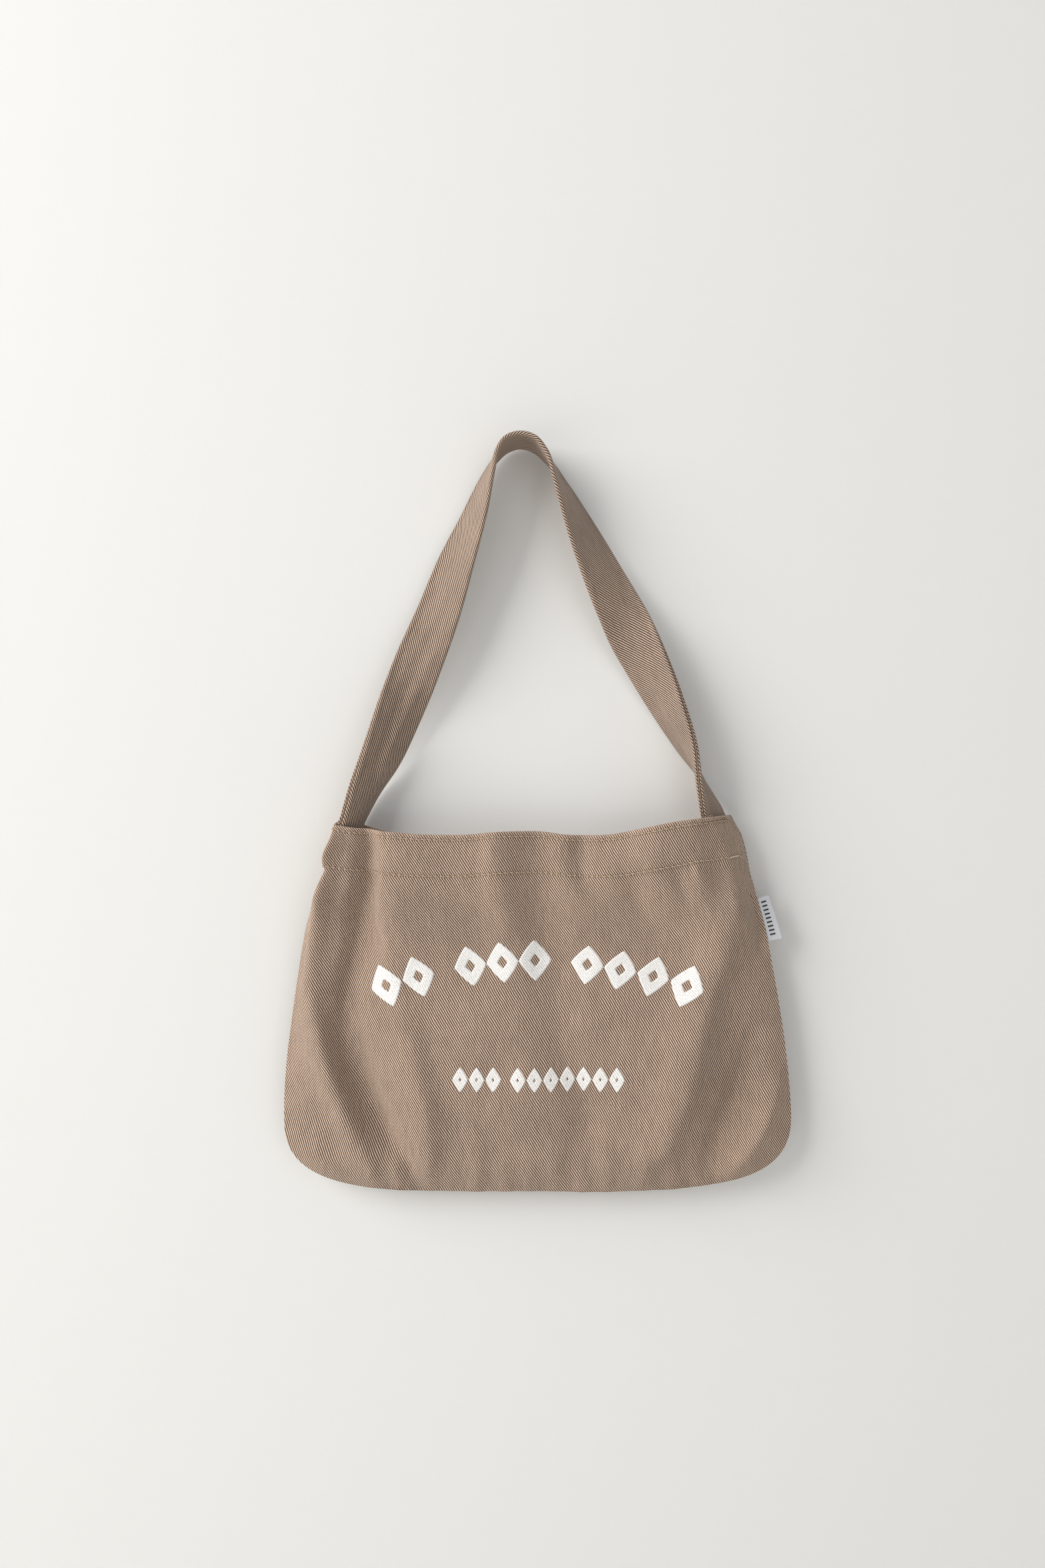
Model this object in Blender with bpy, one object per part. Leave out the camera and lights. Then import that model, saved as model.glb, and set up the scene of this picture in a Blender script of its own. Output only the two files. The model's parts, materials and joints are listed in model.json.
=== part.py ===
"""A small twill shoulder tote, hanging by its one long strap.

The frame: the origin is the underside of the strap's crest, where a peg or a hook bears. +X is to the
right of someone who faces the bag, +Y is towards whatever the bag hangs against, and +Z is up. Sizes are
in metres.

Two panels of heavy twill are seamed round the sides and the bottom. Their tops are turned in as a deep
hem, and one strap is sewn inside both ends of the mouth. Each panel is a grid over (share of the half
width, depth under the mouth), and whatever follows a panel is worked out from the same grid.
"""

import math

import bmesh
import bpy
import numpy as np

# Overall sizes
BAG_WIDTH = 0.320  # across the side seams, at the widest line
MOUTH_WIDTH = 0.249  # across the mouth as the bag hangs
BAG_HEIGHT = 0.237  # from the mouth's corners to the bottom seam
STRAP_RISE = 0.242  # from the mouth's corners to the crest of the strap

# Cloth and strap
CLOTH = 0.0009  # one ply of twill
STRAP_WIDTH = 0.0295
STRAP_THICK = 0.003  # two plies with their turned edges
STITCH_INSET = 0.0018  # from the strap's edge to the row of stitches that closes it
THREAD = 0.0007  # a sewing thread's diameter
HEM_DEPTH = 0.0257  # from the mouth's edge to the hem's lower row of stitches
TOP_ROW_DEPTH = 0.0030  # from the mouth's edge to the hem's upper row
TURNED_PLY = 0.0275  # how far the hem's turned-in ply reaches down
SEAM_INSET = 0.0028  # from the rolled edge of a seam to its row of stitches
ALLOWANCE = 0.007  # the width of the seam allowance inside
OVERLOCK_WIDTH = 0.0012  # the thread wrapped round the allowance's raw edge
GAP = 0.0003  # between pieces that touch
SLACK = 0.0006  # more room between the strap's ends and the mouth's lips
LOOP_EASE = 0.0007  # between the loop's ends and the round ends below them
SEAM_CLEARANCE = 0.002  # from the strap's ends down to the top of the seams
HEM_CLEARANCE = 4 * CLOTH  # between the strap's ends and the turned plies

# The bag's outline
WIDEST_DEPTH = 0.184  # the widest line, under the mouth
FLARE_POWER = 0.9  # how soon the sides flare under the mouth
CORNER_POWER = 3.0  # the superellipse of the bottom corners
BOTTOM_SHARE = 0.5  # the share of the width at which the bottom row starts
MOUTH_SAG = 0.0075  # how far the lips dip between the strap's ends
SAG_FADE = 0.130  # the depth at which that dip has faded out

# How the bag stands open
MOUTH_FADE = 0.068  # how far below the strap's ends the open mouth has become the flat body
MOUTH_ROLL = 0.008  # how far from the seam the mouth's end wall reaches
BODY_ROLL = 0.020  # the same, down the body
BOTTOM_ROLL = 0.025  # the same, along the bottom
FRONT_MOUTH_MIDDLE = 0.014  # how far the front lip stands forward of the side seams
FRONT_BODY_SIDE = 0.005  # how far the front panel stands forward beside its seams
FRONT_BODY_MIDDLE = 0.012  # the same, at the middle
BACK_MOUTH_MIDDLE = 0.0075
BACK_BODY = 0.008  # the back panel is one plane this far behind the side seams
MOUTH_SHEAR = 0.5  # the front lip stands to one side of the back lip by this share of its depth

# The strap's ends
BASE_TURN = math.radians(51.5)  # the strap's width, turned from the mouth line, where it enters the bag
STRAP_EASE = 0.0025  # between the strap's outer corner and the mouth's end
END_DEPTH = 0.027  # how far the strap's ends reach into the bag
END_LEAN = 0.35  # how far a strap's end moves outwards for each metre downwards
TACK_INSET = 0.004  # from the strap's edges to the ends of the bar of stitches
TACK_WIDTH = 0.002
FLEX_ABOVE = 0.016  # the strap's fold line, above the mouth
FLEX_Y = -0.0008  # the fold line lies over the bag's balance point

# The label
LABEL_TOP = 0.053  # under the mouth
LABEL_HEIGHT = 0.028
LABEL_REACH = 0.0074  # how far it stands out of the side seam
LABEL_LEAF = 0.0004
LABEL_FOLD = 0.0014  # across both leaves

# Fineness of the grids
COLUMNS = 23
PLY_COLUMNS = 17
ROWS = 12  # down the body
BOTTOM_ROWS = 5  # along the bottom's curve
SEAM_STATIONS = 16  # along each side seam, and along the bottom one
CROWDING = 0.92  # how strongly the columns crowd towards the seams, up to 1
STITCH_REACH = 0.97  # the share of the half width that the hem's stitches reach
NORMAL_STEP = 0.001  # to each side of a row of stitches, to find the cloth's normal
END_ROUNDING = 0.95  # how much of its quarter turn the round top of a strap's end goes through
CLOTH_ROUGHNESS = 0.92
THREAD_ROUGHNESS = 0.8
LABEL_ROUGHNESS = 0.75
AXIS_MARK = 0.02  # the drawn size of the empties on the joints' axes
SHARP_ANGLE = math.radians(35)
STRAP_STATIONS = 57
THREAD_STATIONS = 33

# Worked out from the sizes above
MOUTH_Z = -STRAP_RISE
FLEX_Z = MOUTH_Z + FLEX_ABOVE
SEAM_OFFSET = (GAP + CLOTH) / 2  # from the seam's plane to the middle of a ply
STRAP_REACH_X = (STRAP_WIDTH * math.cos(BASE_TURN) + STRAP_THICK * math.sin(BASE_TURN)) / 2
STRAP_REACH_Y = (STRAP_WIDTH * math.sin(BASE_TURN) + STRAP_THICK * math.cos(BASE_TURN)) / 2
STRAP_X = MOUTH_WIDTH / 2 - STRAP_REACH_X - STRAP_EASE
MOUTH_END = STRAP_REACH_Y + GAP + CLOTH / 2 - SEAM_OFFSET + SLACK

# The strap's line, from the left end over the crest to the right end. Each knot holds the share of
# STRAP_X, the share of STRAP_RISE and the turn of the strap's width about its line, in degrees. At both
# ends the stitched edge is in front, and at the crest it is behind, so each leg turns over once.
STRAP_KNOTS = (
    (-0.975, 1.000, 51.5),
    (-0.905, 0.910, 47.0),
    (-0.838, 0.842, 41.0),
    (-0.726, 0.715, 22.0),
    (-0.614, 0.587, -8.0),
    (-0.499, 0.460, -34.0),
    (-0.400, 0.332, -50.0),
    (-0.293, 0.205, -63.0),
    (-0.195, 0.084, -84.0),
    (-0.150, 0.041, -89.0),
    (-0.084, 0.011, -90.0),
    (0.000, 0.000, -90.0),
    (0.084, 0.011, -90.0),
    (0.150, 0.043, -87.0),
    (0.234, 0.121, -69.0),
    (0.349, 0.263, -45.0),
    (0.482, 0.407, -21.0),
    (0.549, 0.479, 0.0),
    (0.612, 0.552, 22.0),
    (0.761, 0.694, 47.0),
    (0.890, 0.839, 82.0),
    (0.935, 0.910, 104.0),
    (1.000, 1.000, 128.5),
)

# Sections, as shares of half the width and half the thickness: a square one, and the strap's
SQUARE = np.array([(-1, -1), (1, -1), (1, 1), (-1, 1)])
STRAP_SECTION = np.array(
    [(-1, -0.4), (-0.95, -1), (0.95, -1), (1, -0.4), (1, 0.4), (0.95, 1), (-0.95, 1), (-1, 0.4)]
)

CLOTH_COLOUR = (0.40, 0.31, 0.245)
STRAP_COLOUR = (0.36, 0.285, 0.225)
THREAD_COLOUR = (0.34, 0.265, 0.205)
LABEL_COLOUR = (0.62, 0.62, 0.63)


def smooth(share):
    """A soft step from 0 to 1: 3 times the share squared, less twice its cube."""
    share = np.clip(share, 0, 1)
    return share * share * (3 - 2 * share)


def mixed(first, last, share):
    """The value this share of the way from the first to the last."""
    return first + (last - first) * share


def roll(distance, reach):
    """A quarter sine: 0 at a seam, 1 from this reach inwards."""
    return np.sin(np.pi / 2 * np.clip(distance / reach, 0, 1))


# The two panels


def half_width(depth):
    """Half the bag's width at a depth: a sine flare to the widest line, then a superellipse corner."""
    flare = np.sin(np.pi / 2 * np.clip(depth / WIDEST_DEPTH, 0, 1)) ** FLARE_POWER
    above = mixed(MOUTH_WIDTH / 2, BAG_WIDTH / 2, flare)
    fall = np.clip((depth - WIDEST_DEPTH) / (BAG_HEIGHT - WIDEST_DEPTH), 0, 1)
    return above * (1 - fall**CORNER_POWER) ** (1 / CORNER_POWER)


def bottom_row():
    """The depth at which the outline has narrowed to BOTTOM_SHARE of its width."""
    fall = (1 - BOTTOM_SHARE**CORNER_POWER) ** (1 / CORNER_POWER)
    return WIDEST_DEPTH + fall * (BAG_HEIGHT - WIDEST_DEPTH)


def panel(side, across, depth):
    """The middle surface of a panel's ply. side is -1 in front and 1 behind, across runs from -1 at the
    left seam to 1 at the right one, and depth is under the mouth. The panel stands off the seam's plane
    by a quarter sine over its roll, and by a swelling towards the middle."""
    across, depth = np.broadcast_arrays(across, depth)
    width = half_width(depth)
    last = bottom_row()
    open_share = smooth((depth - END_DEPTH) / MOUTH_FADE)
    side_depth = mixed(MOUTH_END, FRONT_BODY_SIDE if side < 0 else BACK_BODY, open_share)
    middle = mixed(
        FRONT_MOUTH_MIDDLE if side < 0 else BACK_MOUTH_MIDDLE,
        FRONT_BODY_MIDDLE if side < 0 else BACK_BODY,
        open_share,
    )
    rolled = roll((1 - np.abs(across)) * width, mixed(MOUTH_ROLL, BODY_ROLL, open_share))
    swelling = (middle - side_depth) * (1 - across**2) ** 1.5
    closing = roll(last - depth, BOTTOM_ROLL)
    y = side * (SEAM_OFFSET + closing * (side_depth * rolled + swelling))
    x = across * width + MOUTH_SHEAR * (1 - open_share) * y
    dip = MOUTH_SAG * (1 - np.abs(across) ** 2.5)
    sag = dip * (1 - smooth((depth - HEM_DEPTH) / (SAG_FADE - HEM_DEPTH)))
    bow = (BAG_HEIGHT - last) * (1 - across**2) * (depth / last) ** 6
    return np.stack([x, y, MOUTH_Z - depth - sag - bow], axis=-1)


def outward(grid, side):
    """Unit normals of a grid of points, turned to the outside of the bag."""
    along = np.gradient(grid, axis=0)
    over = np.gradient(grid, axis=1)
    normal = np.cross(along, over)
    normal /= np.linalg.norm(normal, axis=-1, keepdims=True)
    return normal * np.sign(normal[..., 1:2].mean()) * side


def seam_spacing(count, reach=1.0):
    """Shares from -reach to reach, closer together towards the seams."""
    turn = CROWDING * np.pi / 2
    return reach * np.sin(np.linspace(-turn, turn, count)) / math.sin(turn)


def row_depths():
    """The depths of a panel's rows: even down the body, and closer together along the bottom."""
    last = bottom_row()
    body = np.linspace(0, last - BOTTOM_ROLL, ROWS)
    foot = last - BOTTOM_ROLL * (1 - np.sin(np.linspace(0, np.pi / 2, BOTTOM_ROWS + 1)[1:]))
    return np.concatenate([body, foot])


# Solids


def finished(name, mesh, material):
    """The object for a mesh, with its material, and flat faces left sharp."""
    mesh.materials.append(material)
    mesh.shade_smooth()
    mesh.set_sharp_from_angle(angle=SHARP_ANGLE)
    obj = bpy.data.objects.new(name, mesh)
    bpy.context.scene.collection.objects.link(obj)
    return obj


def solid(name, points, faces, material):
    """A closed solid with its faces turned outwards."""
    mesh = bpy.data.meshes.new(name)
    shape = bmesh.new()
    corners = [shape.verts.new(point) for point in points.tolist()]
    for face in faces:
        shape.faces.new([corners[i] for i in face])
    bmesh.ops.recalc_face_normals(shape, faces=shape.faces)
    shape.to_mesh(mesh)
    shape.free()
    return finished(name, mesh, material)


def sheet(name, middle, normal, thick, material):
    """A ply of cloth: a grid of middle points, made solid by half its thickness along both normals."""
    rows, columns = middle.shape[:2]
    points = np.concatenate(
        [(middle + normal * thick / 2).reshape(-1, 3), (middle - normal * thick / 2).reshape(-1, 3)]
    )
    index = np.arange(rows * columns).reshape(rows, columns)
    quads = np.stack([index[:-1, :-1], index[1:, :-1], index[1:, 1:], index[:-1, 1:]], axis=-1)
    quads = quads.reshape(-1, 4)
    rim = np.concatenate([index[0, :], index[1:, -1], index[-1, -2::-1], index[-2:0:-1, 0]])
    back = rows * columns
    faces = quads.tolist() + (quads[:, ::-1] + back).tolist()
    after = np.roll(rim, -1)
    faces += np.stack([rim, rim + back, after + back, after], axis=-1).tolist()
    return solid(name, points, faces, material)


def sweep(name, line, across, through, section, material):
    """A section carried along a line. Each station has its own two unit vectors, and the section gives
    the distances along them. A section per station is allowed too, so that a strip can round off."""
    section = np.broadcast_to(section, (len(line), *np.shape(section)[-2:]))
    rings = (
        line[:, None]
        + section[:, :, :1] * across[:, None]
        + section[:, :, 1:] * through[:, None]
    )
    stations, corners = rings.shape[:2]
    index = np.arange(stations * corners).reshape(stations, corners)
    after = np.roll(index, -1, axis=1)
    sides = np.stack([index[:-1], index[1:], after[1:], after[:-1]], axis=-1).reshape(-1, 4)
    faces = sides.tolist() + [index[0, ::-1].tolist(), index[-1].tolist()]
    return solid(name, rings.reshape(-1, 3), faces, material)


def directions(line):
    """Unit vectors along a line of points."""
    along = np.gradient(line, axis=0)
    return along / np.linalg.norm(along, axis=1, keepdims=True)


def thread(name, line, off, material):
    """A sewing thread laid along a line, off a surface whose unit normals are given."""
    along = directions(line)
    beside = np.cross(along, off)
    beside /= np.linalg.norm(beside, axis=1, keepdims=True)
    turns = np.arange(6) * np.pi / 3
    ring = THREAD / 2 * np.stack([np.cos(turns), np.sin(turns)], axis=1)
    return sweep(name, line, beside, np.cross(beside, along), ring, material)


# The strap


def strap_line(first, last, count):
    """Stations of the strap between two shares of its line: the middle points, and the unit vectors
    across its width and through its thickness. Cubic pieces join the knots, and the slope at a knot is
    that of its two neighbours."""
    knots = np.array(STRAP_KNOTS) * (STRAP_X, -STRAP_RISE, math.pi / 180)
    steps = np.linalg.norm(np.diff(knots[:, :2], axis=0), axis=1)
    run = np.concatenate([[0], np.cumsum(steps)])
    slope = np.gradient(knots, run, axis=0)
    at = np.linspace(first, last, count)
    piece = np.clip(np.searchsorted(run, at, side="right") - 1, 0, len(knots) - 2)
    span = run[piece + 1] - run[piece]
    share = ((at - run[piece]) / span)[:, None]
    rise = share * share * (3 - 2 * share)
    values = (
        knots[piece] * (1 - rise)
        + knots[piece + 1] * rise
        + slope[piece] * span[:, None] * share * (1 - share) ** 2
        - slope[piece + 1] * span[:, None] * share**2 * (1 - share)
    )
    middle = np.stack(
        [values[:, 0], np.zeros(count), values[:, 1] + STRAP_THICK / 2], axis=1
    )
    return (middle, *strap_frame(middle, values[:, 2]))


def strap_frame(middle, turn):
    """Unit vectors across and through the strap, turned about its line by these angles."""
    along = directions(middle)
    level = np.stack([along[:, 2], np.zeros(len(middle)), -along[:, 0]], axis=1)
    level /= np.linalg.norm(level, axis=1, keepdims=True)
    away = np.array([0.0, 1.0, 0.0])
    across = np.cos(turn)[:, None] * level + np.sin(turn)[:, None] * away
    return across, np.cross(along, across)


def strap_length():
    """The length of the straight pieces through the strap's knots, from mouth corner to mouth corner."""
    knots = np.array(STRAP_KNOTS)[:, :2] * (STRAP_X, STRAP_RISE)
    return np.linalg.norm(np.diff(knots, axis=0), axis=1).sum()


def strap_section():
    return STRAP_SECTION * (STRAP_WIDTH / 2, STRAP_THICK / 2)


def leg_run(side):
    """How far along the strap's line the loop starts on this side: where every point across the strap
    clears the circle that the round end below it turns in."""
    run = np.linspace(0, strap_length(), 2001)
    middle, across, _ = strap_line(0, run[-1], len(run))
    shares = np.linspace(-1, 1, 7)[:, None, None]
    points = middle + shares * across * STRAP_WIDTH / 2
    away = np.hypot(points[..., 1], points[..., 2] - FLEX_Z).min(axis=0)
    clear = np.flatnonzero((middle[:, 2] > FLEX_Z) & (away > (STRAP_WIDTH + STRAP_THICK) / 2 + LOOP_EASE))
    return run[clear[0]] if side < 0 else run[clear[-1]]


def make_strap(material):
    """The loop of the strap, from one fold line to the other."""
    line, across, through = strap_line(leg_run(-1), leg_run(1), STRAP_STATIONS)
    return sweep("strap", line, across, through, strap_section(), material)


def make_strap_stitch(material):
    """The row of stitches that closes the strap, along its stitched edge."""
    start, finish = leg_run(-1) + STITCH_INSET, leg_run(1) - STITCH_INSET
    line, across, through = strap_line(start, finish, STRAP_STATIONS)
    off = STRAP_THICK / 2 + GAP + THREAD / 2
    row = line - across * (STRAP_WIDTH / 2 - STITCH_INSET) + through * off
    return thread("strap_edge_stitch", row, through, material)


def end_frame(side):
    """Where an end of the strap passes the mouth, the step along it for each metre of height, and the
    unit vectors across its width and through its thickness."""
    end = STRAP_KNOTS[0 if side < 0 else -1]
    foot = np.array([end[0] * STRAP_X, 0, -end[1] * STRAP_RISE + STRAP_THICK / 2])
    lean = np.array([-side * END_LEAN, 0, 1.0])
    across, through = strap_frame(foot + np.array([[0], [-side]]) * lean, np.radians([end[2]]))
    return foot, lean, across[0], through[0]


def make_strap_end(side, name, material):
    """An end of the strap: flat inside the mouth's corner, and round at the fold line above it."""
    foot, lean, across, through = end_frame(side)
    rounding = np.sin(np.linspace(0, np.pi / 2 * END_ROUNDING, 7))
    heights = np.concatenate([[-END_DEPTH, 0], FLEX_ABOVE + STRAP_WIDTH / 2 * rounding])
    narrowing = np.concatenate([[1, 1], np.sqrt(1 - rounding**2)])
    line = foot + heights[:, None] * lean
    share = np.stack([narrowing, np.ones(len(heights))], axis=1)
    section = strap_section() * share[:, None]
    across = np.broadcast_to(across, line.shape)
    return sweep(name, line, across, np.broadcast_to(through, line.shape), section, material)


def make_tack(side, name, material):
    """The bar of stitches that fastens the strap's end, on its inner face."""
    foot, lean, across, through = end_frame(side)
    inner = through * -side * np.sign(through[0])
    centre = foot - END_DEPTH / 2 * lean + inner * (STRAP_THICK / 2 + GAP + THREAD / 2)
    reach = STRAP_WIDTH / 2 - TACK_INSET
    line = centre + np.array([[-reach], [reach]]) * across
    upward = np.broadcast_to(np.cross(across, inner), line.shape)
    corners = SQUARE * (TACK_WIDTH / 2, THREAD / 2)
    return sweep(name, line, upward, np.broadcast_to(inner, line.shape), corners, material)


# The hems, seams and label


def make_panel(name, side, material):
    grid = panel(side, seam_spacing(COLUMNS)[None, :], row_depths()[:, None])
    return sheet(name, grid, outward(grid, side), CLOTH, material)


def make_turned_ply(name, side, material):
    """The ply that a hem turns in, lying inside the panel and clear of the strap's ends."""
    reach = 1 - (2 * STRAP_REACH_X + STRAP_EASE + HEM_CLEARANCE) / (MOUTH_WIDTH / 2)
    columns = seam_spacing(PLY_COLUMNS, reach)[None, :]
    grid = panel(side, columns, np.linspace(CLOTH, TURNED_PLY, 4)[:, None])
    normal = outward(grid, side)
    return sheet(name, grid - normal * (CLOTH + 2 * GAP), normal, CLOTH, material)


def make_hem_stitch(name, side, depth, material):
    """A row of lockstitches along the hem, just off the panel's outer face."""
    columns = seam_spacing(THREAD_STATIONS, STITCH_REACH)[None, :]
    depths = np.array([depth - NORMAL_STEP, depth, depth + NORMAL_STEP])
    band = panel(side, columns, depths[:, None])
    normal = outward(band, side)[1]
    row = band[1] + normal * (CLOTH / 2 + GAP + THREAD / 2)
    return thread(name, row, normal, material)


def seam_line(inset, top, count):
    """Points along the side and bottom seams, this far inside the outline: down the right side from
    this depth, along the bottom, and up the left side. Also the unit vectors pointing inwards."""
    last = bottom_row()
    down = np.linspace(top, last, count)
    share = (1 - np.cos(np.linspace(0, np.pi, count))) / 2
    right = np.stack([half_width(down), down], axis=1)
    across = 1 - 2 * share[1:-1]
    bottom = np.stack(
        [across * half_width(last), last + (BAG_HEIGHT - last) * (1 - across**2)], axis=1
    )
    left = right[::-1] * (-1, 1)
    outline = np.concatenate([right, bottom, left])
    steps = np.linalg.norm(np.diff(outline, axis=0), axis=1)
    run = np.concatenate([[0], np.cumsum(steps)])
    at = np.linspace(0, run[-1], 3 * count)
    even = np.stack([np.interp(at, run, outline[:, 0]), np.interp(at, run, outline[:, 1])], axis=1)
    along = np.gradient(even, axis=0)
    along /= np.linalg.norm(along, axis=1, keepdims=True)
    inward = np.stack([-along[:, 1], along[:, 0]], axis=1)
    inward *= -np.sign(inward[0, 0])
    placed = even + inward * inset
    flat = np.zeros(len(at))
    line = np.stack([placed[:, 0], flat, MOUTH_Z - placed[:, 1]], axis=1)
    return line, np.stack([inward[:, 0], flat, -inward[:, 1]], axis=1)


def make_seam_strip(name, inset, width, thick, material):
    """A strip inside the seam, standing in from it on the seam's own plane."""
    top = END_DEPTH + 2 * CLOTH + SEAM_CLEARANCE
    line, inward = seam_line(inset + width / 2, top, SEAM_STATIONS)
    behind = np.broadcast_to([0.0, 1.0, 0.0], line.shape)
    return sweep(name, line, inward, behind, SQUARE * (width / 2, thick / 2), material)


def label_line():
    """The two ends of the line along which the label leaves the side seam."""
    depths = np.array([LABEL_TOP, LABEL_TOP + LABEL_HEIGHT])
    return np.stack([half_width(depths) + CLOTH + GAP, 0 * depths, MOUTH_Z - depths], axis=1)


def make_label(material):
    """A woven label, folded double, whose ends are caught in the right side seam."""
    line = label_line()
    run = line[1] - line[0]
    out = np.array([-run[2], 0, run[0]]) / np.linalg.norm(run)
    outer, half, leaf = LABEL_REACH, LABEL_FOLD / 2, LABEL_LEAF
    section = np.array(
        [
            (0, -half),
            (outer - half, -half),
            (outer, 0),
            (outer - half, half),
            (0, half),
            (0, half - leaf),
            (outer - half, half - leaf),
            (outer - half, leaf - half),
            (0, leaf - half),
        ]
    )
    behind = np.broadcast_to([0.0, 1.0, 0.0], line.shape)
    return sweep("side_label", line, np.broadcast_to(out, line.shape), behind, section, material)


# Materials


def material_of(name, colour, roughness):
    material = bpy.data.materials.new(name)
    material.use_nodes = True
    shader = material.node_tree.nodes["Principled BSDF"]
    shader.inputs["Base Color"].default_value = (*colour, 1)
    shader.inputs["Roughness"].default_value = roughness
    shader.inputs["Metallic"].default_value = 0
    return material


def hinge(name, place, pieces):
    """An empty on a joint's axis, which holds the pieces that turn about it where they already are."""
    empty = bpy.data.objects.new(name, None)
    empty.location = place
    empty.empty_display_size = AXIS_MARK
    bpy.context.scene.collection.objects.link(empty)
    for piece in pieces:
        piece.parent = empty
        piece.location = [-value for value in place]
    return empty


def main():
    for obj in list(bpy.data.objects):
        bpy.data.objects.remove(obj)
    twill = material_of("twill_cloth", CLOTH_COLOUR, CLOTH_ROUGHNESS)
    strap = material_of("strap_cloth", STRAP_COLOUR, CLOTH_ROUGHNESS)
    sewing = material_of("sewing_thread", THREAD_COLOUR, THREAD_ROUGHNESS)
    woven = material_of("woven_label", LABEL_COLOUR, LABEL_ROUGHNESS)
    make_strap(strap)
    make_strap_stitch(sewing)
    sides = {}
    for name, side in (("front", -1), ("back", 1)):
        sides[name] = [
            make_panel(f"{name}_panel", side, twill),
            make_turned_ply(f"{name}_hem_ply", side, twill),
            make_hem_stitch(f"{name}_hem_top_stitch", side, TOP_ROW_DEPTH, sewing),
            make_hem_stitch(f"{name}_hem_low_stitch", side, HEM_DEPTH, sewing),
        ]
    allowance_inset = SEAM_INSET + THREAD + 2 * GAP
    overlock_inset = allowance_inset + ALLOWANCE + GAP
    seams = [
        make_seam_strip("seam_stitch", SEAM_INSET, THREAD, THREAD, sewing),
        make_seam_strip("seam_allowance", allowance_inset, ALLOWANCE, 2 * CLOTH, twill),
        make_seam_strip(
            "seam_overlock", overlock_inset, OVERLOCK_WIDTH, 2 * CLOTH + THREAD, sewing
        ),
    ]
    ends = []
    for name, side in (("left", -1), ("right", 1)):
        ends.append(make_strap_end(side, f"strap_end_{name}", strap))
        ends.append(make_tack(side, f"strap_tack_{name}", sewing))
    label = make_label(woven)
    hinge("strap_fold_axis", (0, FLEX_Y, FLEX_Z), sides["back"] + seams + ends)
    hinge("mouth_open_axis", (0, 0, MOUTH_Z - BAG_HEIGHT), sides["front"])
    hinge("label_flap_axis", label_line().mean(axis=0), [label])


main()
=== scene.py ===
# %% [markdown]
# # A small twill shoulder tote, hanging by its strap
# The bag is two panels of heavy cotton twill, seamed round the sides and the bottom, with a deep hem
# turned in at the mouth and one long strap. It hangs almost empty, so the cloth falls in soft columns.
# Everything below follows one idea: a panel is a grid over (share of the half width, depth under the
# mouth), and whatever is sewn or printed on a panel is laid over that same grid.

import json
import math

import bpy
import numpy as np
from mathutils import Matrix, Vector


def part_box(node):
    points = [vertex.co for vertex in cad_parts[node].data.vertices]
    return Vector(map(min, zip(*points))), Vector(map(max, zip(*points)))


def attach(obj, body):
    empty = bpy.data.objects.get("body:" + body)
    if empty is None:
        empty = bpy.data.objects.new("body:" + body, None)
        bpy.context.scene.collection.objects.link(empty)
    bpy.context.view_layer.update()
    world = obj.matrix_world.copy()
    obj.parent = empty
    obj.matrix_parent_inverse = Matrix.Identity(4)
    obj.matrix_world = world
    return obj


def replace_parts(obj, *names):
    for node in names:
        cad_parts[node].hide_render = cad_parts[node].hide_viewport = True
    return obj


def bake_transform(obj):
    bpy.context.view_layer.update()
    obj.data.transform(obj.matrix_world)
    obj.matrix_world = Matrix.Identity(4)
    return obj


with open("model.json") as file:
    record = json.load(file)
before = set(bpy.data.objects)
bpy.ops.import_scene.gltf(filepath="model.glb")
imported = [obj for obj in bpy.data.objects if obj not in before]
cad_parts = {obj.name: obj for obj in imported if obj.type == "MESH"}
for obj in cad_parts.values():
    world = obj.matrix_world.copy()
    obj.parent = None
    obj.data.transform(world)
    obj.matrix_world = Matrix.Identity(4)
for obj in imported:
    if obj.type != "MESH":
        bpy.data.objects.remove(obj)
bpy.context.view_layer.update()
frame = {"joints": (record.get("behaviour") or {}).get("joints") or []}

# %% [markdown]
# ## Sizes
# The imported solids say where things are. The mouth's corners are at the top of the front panel, the
# bottom seam is at its lowest point, and the strap's crest is at the origin.

# %%
MM = 0.001
panel_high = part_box("front_panel")[1]
joints = {joint["name"]: joint for joint in frame["joints"]}

CLOTH = 0.9 * MM  # one ply of twill
GAP = 0.3 * MM  # between the plies of a hem
FOLD_Z = joints["strap_fold"]["pos_m"][2]  # where the strap folds over
MOUTH_Z = FOLD_Z - 16 * MM  # the mouth's corners
BAG_HEIGHT = MOUTH_Z - joints["mouth_open"]["pos_m"][2]
BAG_WIDTH = 2 * round(panel_high.x, 3)
MOUTH_WIDTH = 249 * MM
HEM_DEPTH = 25.7 * MM  # from the mouth's edge to the hem's lower row of stitches
TOP_ROW_DEPTH = 3.0 * MM
TURNED_PLY = 27.5 * MM  # how far the hem's turned-in ply reaches down
WIDEST_DEPTH = 184 * MM  # where the bag is widest
BOTTOM_SHARE = 0.5  # how much of the widest width the lowest row of the panels keeps
SEAM_OFFSET = CLOTH / 2 + 0.06 * MM  # from the seam's plane to the middle of a ply
END_DEPTH = 27 * MM  # how far the strap's ends reach into the bag
STRAP_WIDTH = 31 * MM
STRAP_THICK = 3.0 * MM

print(f"bag {BAG_WIDTH / MM:.0f} mm wide, {BAG_HEIGHT / MM:.0f} mm high, mouth at {MOUTH_Z / MM:.0f} mm")


# %% [markdown]
# ## Helpers
# Small functions that keep what follows short: a soft step and a mix for the shapes, and their
# counterparts for the materials. The same step is used in both, so that colours and folds fade alike.

# %%
def smooth(share):
    """A soft step from 0 to 1: 3 times the share squared, less twice its cube."""
    share = np.clip(share, 0, 1)
    return share * share * (3 - 2 * share)


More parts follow.
